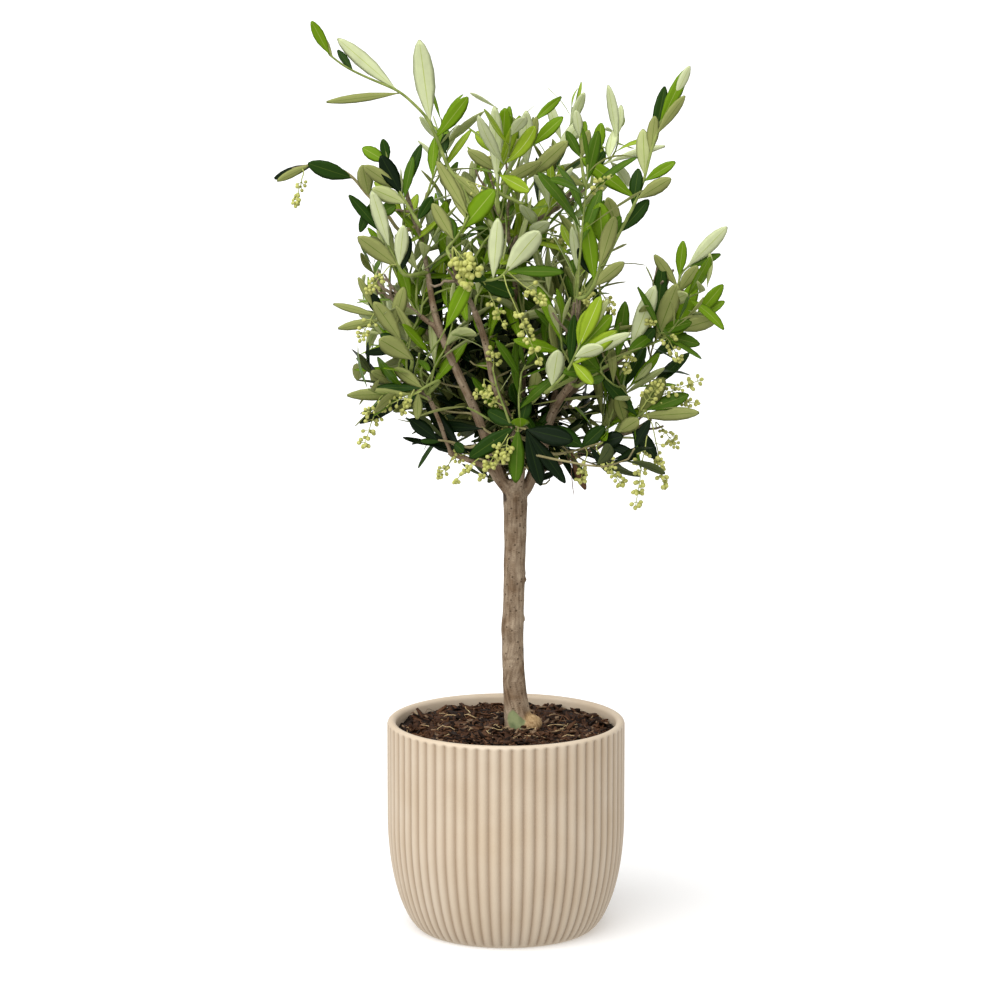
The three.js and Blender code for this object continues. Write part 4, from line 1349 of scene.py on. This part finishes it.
# %% [markdown]
# Stem and boughs are one living skin. The stem is a copy of the frame's own solid, and each bough
# a tapering tube on its centre line, started inside the wood that bears it. A voxel remesh melts
# them into one surface, smoothing rounds the crotches, and the relief is pressed in afterwards.

# %% Stem and boughs
WOOD_VOXEL = 0.85 * MM


def stem_copy():
    stem = frame["nodes"]["trunk"].copy()
    stem.data = stem.data.copy()
    bpy.context.collection.objects.link(stem)
    stem.parent = None
    stem.hide_render = False
    pick(stem, "vertices", lambda corner: True)
    bpy.ops.mesh.remove_doubles(threshold=0.01 * MM)
    bpy.ops.object.mode_set(mode="OBJECT")
    stem.data.materials.clear()
    return stem


def bough_route(node):
    line, radii = BOUGHS[node]
    others = [stem_line[0]] + [other for name, (other, _) in BOUGHS.items() if name != node]
    parent = np.concatenate(others)
    joint = parent[nearest(parent, line[0])]
    line = np.vstack([joint, line])
    radii = np.concatenate([[radii[0] * 1.1], radii])
    run = run_of(line)
    dense = np.linspace(0, run[-1], 3 * len(line))
    return softened(read_off(line, run, dense), 3), np.interp(dense, run, radii)


def stub(height, rise, length, radius):
    """The short stump left where a side shoot was pruned off the right side of the stem."""
    line, radii = stem_line
    centre = line[nearest(line[:, 2:], height)]
    centre = np.array([centre[0], centre[1], height])
    out = np.array([math.cos(math.radians(rise)), 0, math.sin(math.radians(rise))])
    return np.array([centre, centre + out * (radii.mean() + length)]), [1.5 * radius, radius]


def up_stem(share):
    return STEM_LOW.z + share * (STEM_HIGH.z - STEM_LOW.z)


STUBS = [stub(up_stem(0.46), 10, 1.2 * MM, 2.2 * MM), stub(up_stem(0.61), 30, 2.6 * MM, 2.2 * MM),
         stub(up_stem(0.655), 15, 0.8 * MM, 2.6 * MM)]
stem_top = stem_line[0][-1]
CROTCH = (np.array([stem_top - 16 * MM * UP, stem_top, stem_top + 12 * MM * UP]),
          [9.6 * MM, 11.2 * MM, 7.5 * MM])
bough_routes = {node: bough_route(node) for node in BOUGHS}


def wood():
    stem = stem_copy()
    limbs = tubes("limbs", [*bough_routes.values(), *STUBS, CROTCH], BARK, sides=5)
    only(limbs, stem)
    bpy.ops.object.join()
    made = bpy.context.object
    made.name = "stem_and_boughs"
    modify(made, "REMESH", mode="VOXEL", voxel_size=WOOD_VOXEL)
    modify(made, "SMOOTH", factor=0.5, iterations=16)
    made.data.materials.clear()
    made.data.materials.append(BARK)
    return made


woods = wood()
print("wood:", triangles(woods), "triangles before the relief")


# %% [markdown]
# The relief is pressed into the melted wood corner by corner. Each corner finds the nearest point
# of a centre line, which tells how far off the line it stands and how far along. Fine noise,
# stretched along the limb, makes the furrows, and coarse noise makes the lumps. A few places get
# their own mark: a knot nearly half way up the stem, the swollen graft and the scraped patch at
# its foot, and a dark scar in the fork.

# %% Bark relief
SAMPLE_STEP = 2 * MM
LIMB_OFFSET = 0.7  # metres of pattern between two limbs, so that no two look alike
FURROW_DEPTH = 0.16 * MM
SWELL_DEPTH, SWELL_WIDTH = 0.45 * MM, 16 * MM
KNOT_AT = np.array([STEM_LOW.x + 6 * MM, -2 * MM, up_stem(0.43)])
KNOT_HEIGHT, KNOT_RADIUS = 1.5 * MM, 15 * MM
GRAFT_AT = np.array([STEM_HIGH.x - 9 * MM, -6 * MM, STEM_LOW.z + 5 * MM])
GRAFT_RADIUS = 14 * MM
SCRAPE_AT = np.array([STEM_LOW.x + 12 * MM, -14 * MM, STEM_LOW.z + 10 * MM])
SCRAPE_RADIUS, SCRAPE_DEPTH = 9.5 * MM, 0.4 * MM
SCAR_AT = stem_line[0][-1] + (-9 * MM, -4 * MM, -3 * MM)
SCAR_RADIUS = 5 * MM


def limb_samples():
    """Every centre line as points, with each point's distance along its own limb."""
    spots, lengths = [], []
    for line in [stem_line[0], *(route for route, _ in bough_routes.values())]:
        run = run_of(line)
        dense = np.linspace(0, run[-1], max(int(run[-1] / SAMPLE_STEP), 8))
        spots.append(read_off(line, run, dense))
        lengths.append(dense + len(spots) * LIMB_OFFSET)
    return np.concatenate(spots), np.concatenate(lengths)


def near(at, place, radius, soft=0.35):
    gap = np.linalg.norm(at - place, axis=1)
    return 1 - smooth_step(gap, radius * (1 - soft), radius)


def relief(made):
    at = corners_of(made)
    spots, lengths = limb_samples()
    closest = np.concatenate([
        np.argmin(((part[:, None] - spots[None]) ** 2).sum(-1), axis=1)
        for part in np.array_split(at, 40)
    ])
    off = at - spots[closest]
    out = off / np.maximum(np.linalg.norm(off, axis=1), 1e-9)[:, None]
    down_limb = lengths[closest] * FURROW_STRETCH
    grain = np.column_stack([off[:, 0], off[:, 1] + 0.6 * off[:, 2], down_limb])
    furrow = np.array([noise.noise(Vector(g) / (1.2 * FURROW)) for g in grain])
    lumps = np.array([noise.noise(Vector(p) / SWELL_WIDTH) for p in at])
    height = FURROW_DEPTH * furrow + SWELL_DEPTH * lumps
    height = height + KNOT_HEIGHT * near(at, KNOT_AT, KNOT_RADIUS, 0.9)
    graft = near(at, GRAFT_AT, GRAFT_RADIUS)
    slant = 0.9 * (SCRAPE_AT[0] + 7 * MM - at[:, 0])
    scrape = near(at, SCRAPE_AT, SCRAPE_RADIUS, 0.12) * (at[:, 2] - SCRAPE_AT[2] < slant)
    scar = 0.8 * near(at, SCAR_AT, SCAR_RADIUS)
    set_corners(made, at + out * (height - SCRAPE_DEPTH * scrape)[:, None])
    for name, values in (("burl", graft), ("scrape", scrape), ("scar", scar)):
        made.data.attributes.new(name, "FLOAT", "POINT").data.foreach_set("value", values)
    kept = made.data.attributes.new("grain", "FLOAT_VECTOR", "POINT")
    kept.data.foreach_set("vector", grain.ravel())
    only(made)
    bpy.ops.object.shade_smooth()


relief(woods)
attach(woods, "root")
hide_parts("trunk", *BOUGHS)
print("wood:", triangles(woods), "triangles")

# %% [markdown]
# Thinner limbs need no melting: they are plain round tubes. The scaffold is young wood with
# brown-grey bark. The leafy shoots are still green, or straw coloured where they are oldest.

# %% Twigs and shoots
TWIG_BARK = matte("twig_bark", "#67594a", "#a09079", 3 * MM, 0.75, 0.15 * MM)
SHOOT_GREEN = matte("green_shoot_skin", "#6f7f3c", "#a0ac62", 8 * MM, 0.55, 0.05 * MM)
SHOOT_STRAW = matte("straw_shoot_skin", "#7d7650", "#a79d72", 6 * MM, 0.65, 0.08 * MM)

OLD_SHADES = ("night", "deep")

old_routes = [route[:2] for route in green_routes if route[2] in OLD_SHADES]
fresh_routes = [route[:2] for route in green_routes if route[2] not in OLD_SHADES]
twigs = tubes("twigs", limb_routes, TWIG_BARK, sides=2)
straw = tubes("shoots_old", old_routes, SHOOT_STRAW)
green = tubes("shoots_green", fresh_routes, SHOOT_GREEN)
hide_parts(*(node for node in frame["nodes"] if node.startswith("shoot_")))
for part in (twigs, straw, green):
    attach(part, "root")
    print(part.name, triangles(part), "triangles")

# %% [markdown]
# The tree is about to flower. Its buds are pale yellow-green beads on small branched sprays that
# stand or hang where a leaf joins the shoot. A spray is a stalk with opposite side stalks, one to
# three buds on each. One bead is an icosphere drawn out a little, and every bud is a copy of it.
# The random numbers start afresh here too.

# %% Flower buds
BUD_SIZE = 3.5 * MM
BUD_LONG = 1.18  # times its width
rng = np.random.default_rng(5)
BUD_WAX = matte("flower_bud_wax", "#a8ac52", "#d6d685", 2.5 * MM, 0.5, 0.03 * MM)
STALK_SKIN = matte("flower_stalk_skin", "#8f9a44", "#bcc276", 4 * MM, 0.6, 0.03 * MM)


def model_bud():
    bpy.ops.object.select_all(action="DESELECT")
    bpy.ops.mesh.primitive_ico_sphere_add(subdivisions=2, radius=0.5)
    bud = bpy.context.object
    at = corners_of(bud)
    at[:, 2] *= BUD_LONG
    faces = np.array([list(p.vertices) for p in bud.data.polygons])
    bpy.data.objects.remove(bud)
    return at, faces


bud_shape, bud_faces = model_bud()
bud_places, stalk_routes = [], []


def bud_spray(base, heading, length, hang, size=1.0, pairs=None):
    """One spray of buds: a bending stalk and opposite side stalks, tipped with buds."""
    end = base + length * unit(heading + hang * -UP)
    stalk = grown_curve(base, unit(heading), end, unit(heading - 2 * hang * UP), 8, 0.4 * MM)
    stalk_routes.append((stalk, taper(8, 0.55 * MM, 0.35 * MM)))
    ahead = headings(stalk)
    pairs = pairs or max(3, round(length / (7.5 * MM)))
    turn = rng.uniform(0, math.pi)
    for pair in range(pairs + 1):
        share = 0.3 + 0.7 * pair / pairs
        here, way = stalk[round(share * 7)], ahead[round(share * 7)]
        across = unit(np.cross(way, rng.normal(size=3)))
        sides = [way] if pair == pairs else []
        for side in (0, math.pi):
            a = turn + side
            out = math.cos(a) * across + math.sin(a) * np.cross(way, across)
            sides.append(unit(out + 0.5 * way))
        for out in sides:
            reach = (6.5 - 3.5 * share) * MM * size * rng.uniform(0.7, 1.2)
            tip = here + reach * out
            stalk_routes.append((np.array([here, tip]), [0.35 * MM, 0.3 * MM]))
            bud_places.append((tip + 0.4 * BUD_SIZE * out, out, size * rng.uniform(0.85, 1.1)))
            for _ in range(rng.integers(0, 3)):
                aside = unit(np.cross(out, rng.normal(size=3)))
                bud_places.append((tip - 0.2 * BUD_SIZE * out + 0.8 * BUD_SIZE * aside,
                                   unit(aside + out), size * rng.uniform(0.7, 1.0)))
        turn += math.pi / 2


for region, place, heading, tip_way in bud_sites:
    tip = place + 40 * MM * heading
    strays = (tip < CROWN_LOW).any() or (tip > CROWN_HIGH).any()
    if not strays and (region != "top" or rng.uniform() < 0.3):
        bud_spray(place, heading, rng.uniform(18, 34) * MM, rng.uniform(0.1, 0.9))
print(len(bud_places), "buds so far")

# %% [markdown]
# The sprays that catch the eye hang in known places: a fat cluster in front of the left bough, a
# long one before the heart of the crown, and the fringe under the lower right limbs. A row gives
# start and end in millimetres of the shared frame, the size, and the pairs of side stalks. These
# places were read by eye too, and another program printed 18 of the 26 rows.

# %% Known bud sprays
BUD_SPRAYS = [
    ((-44, -84, 618), (-34, -88, 590), 1.6, 5),
    ((-44, -84, 618), (-27, -90, 600), 1.5, 3),
    ((2, -98, 583), (27, -101, 526), 1.15, 7),
    ((12, -88, 589), (30, -91, 574), 1.1, 4),
    ((-16, -70, 581), (-3, -73, 552), 1, 3),
    ((82, -40, 574), (91, -43, 559), 1, 3),
    ((67, -52, 581), (69, -55, 569), 1, 2),
    ((-101, -40, 596), (-117, -43, 577), 1, 4),
    ((-113, -36, 556), (-124, -39, 536), 1, 4),
    ((-74, -44, 488), (-119, -47, 471), 1, 6),
    ((-110, -42, 480), (-122, -45, 444), 1.1, 4),
    ((-80, -46, 489), (-88, -49, 473), 1, 3),
    ((115, -30, 474), (165, -36, 496), 1.05, 7),
    ((117, -50, 475), (130, -53, 495), 1, 4),
    ((131, -20, 478), (163, -24, 475), 1, 4),
    ((122, -64, 459), (112, -68, 396), 1.15, 8),
    ((127, -34, 456), (137, -30, 405), 1.1, 7),
    ((131, -14, 456), (147, -12, 437), 1, 4),
    ((79, -56, 438), (98, -60, 412), 1.05, 5),
    ((70, -40, 432), (65, -43, 412), 1, 3),
    ((1, -52, 451), (-20, -55, 418), 1.1, 6),
    ((1, -56, 447), (-1, -59, 434), 1.1, 4),
    ((-19, -60, 499), (-17, -63, 491), 1, 2),
    ((109, -40, 524), (104, -43, 508), 1, 2),
    ((-175, -4, 672), (-181, -7, 649), 0.95, 4),
    ((-32, -50, 668), (-19, -53, 657), 0.8, 2),
]
all_wood = np.concatenate([wood_points] + [line for line, *_ in green_routes])
for start, end, size, pairs in BUD_SPRAYS:
    start, end = np.array(start) * MM, np.array(end) * MM
    root = all_wood[nearest(all_wood, start)]
    stalk_routes.append((grown_curve(root, unit(start - root), start, unit(end - start), 6),
                         taper(6, 0.6 * MM, 0.55 * MM)))
    heading = unit(end - start)
    bud_spray(start, heading, np.linalg.norm(end - start), 0.0, size, pairs)
print(len(bud_places), "buds")

# %% [markdown]
# Every bud is a copy of the one bead, sized, turned along its stalk and moved to its place. The
# copies are written into one array and become a single mesh, and the stalks become another.

# %% Buds to mesh
def bud_mesh(name, places, material, shape, faces, size):
    corners, joined = [], []
    for k, (place, way, scale) in enumerate(places):
        turn = np.array(Vector(way).to_track_quat("Z", "Y").to_matrix())
        corners.append((shape * size * scale) @ turn.T + place)
        joined.append(faces + k * len(shape))
    return piece_from(name, np.concatenate(corners), np.concatenate(joined), [material])


buds = bud_mesh("flower_buds", bud_places, BUD_WAX, bud_shape, bud_faces, BUD_SIZE)
stalks = tubes("flower_stalks", stalk_routes, STALK_SKIN)
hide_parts("blossom_right_low")
for part in (buds, stalks):
    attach(part, "root")
    print(part.name, triangles(part), "triangles")

# %% [markdown]
# The object stands on a white floor in even daylight: a bright sky all round, one very soft key
# from the upper left in front, and a floor that is white enough to vanish into the background. The
# floor shows and takes shadows, but it is set to throw no light back on the plant and the planter.

# %% Studio
SKY_STRENGTH = 0.63
KEY_FROM = np.array([-0.65, -1.0, 1.4])
KEY_STRENGTH = 2.7
KEY_SOFTNESS = math.radians(75)
FLOOR_WHITE = 0.88
FLOOR_GLOW = 0.2


def studio():
    world = bpy.data.worlds.new("daylight")
    bpy.context.scene.world = world
    world.use_nodes = True
    sky = world.node_tree.nodes["Background"]
    sky.inputs["Color"].default_value = (1.0, 0.995, 0.985, 1.0)
    sky.inputs["Strength"].default_value = SKY_STRENGTH
    bpy.ops.mesh.primitive_plane_add(size=60)
    floor = bpy.context.object
    floor.name = "white_floor"
    paint, tree, shader = blank("white_floor_paint", Roughness=1.0, Specular_IOR_Level=0.0,
                                Emission_Strength=FLOOR_GLOW)
    shader.inputs["Base Color"].default_value = (FLOOR_WHITE, FLOOR_WHITE, FLOOR_WHITE, 1.0)
    shader.inputs["Emission Color"].default_value = (1.0, 1.0, 1.0, 1.0)
    floor.data.materials.append(paint)
    floor.visible_diffuse = False
    bpy.ops.object.light_add(type="SUN")
    key = bpy.context.object
    key.name = "key"
    key.data.energy = KEY_STRENGTH
    key.data.angle = KEY_SOFTNESS
    key.rotation_euler = Vector(KEY_FROM).to_track_quat("Z", "Y").to_euler()
    bpy.context.scene.view_settings.view_transform = "Standard"


studio()
print("studio ready, key from", KEY_FROM)

# %% [markdown]
# Last, the box of the frame is printed.

# %% Finish
print("box of the frame", cad_low, cad_high)
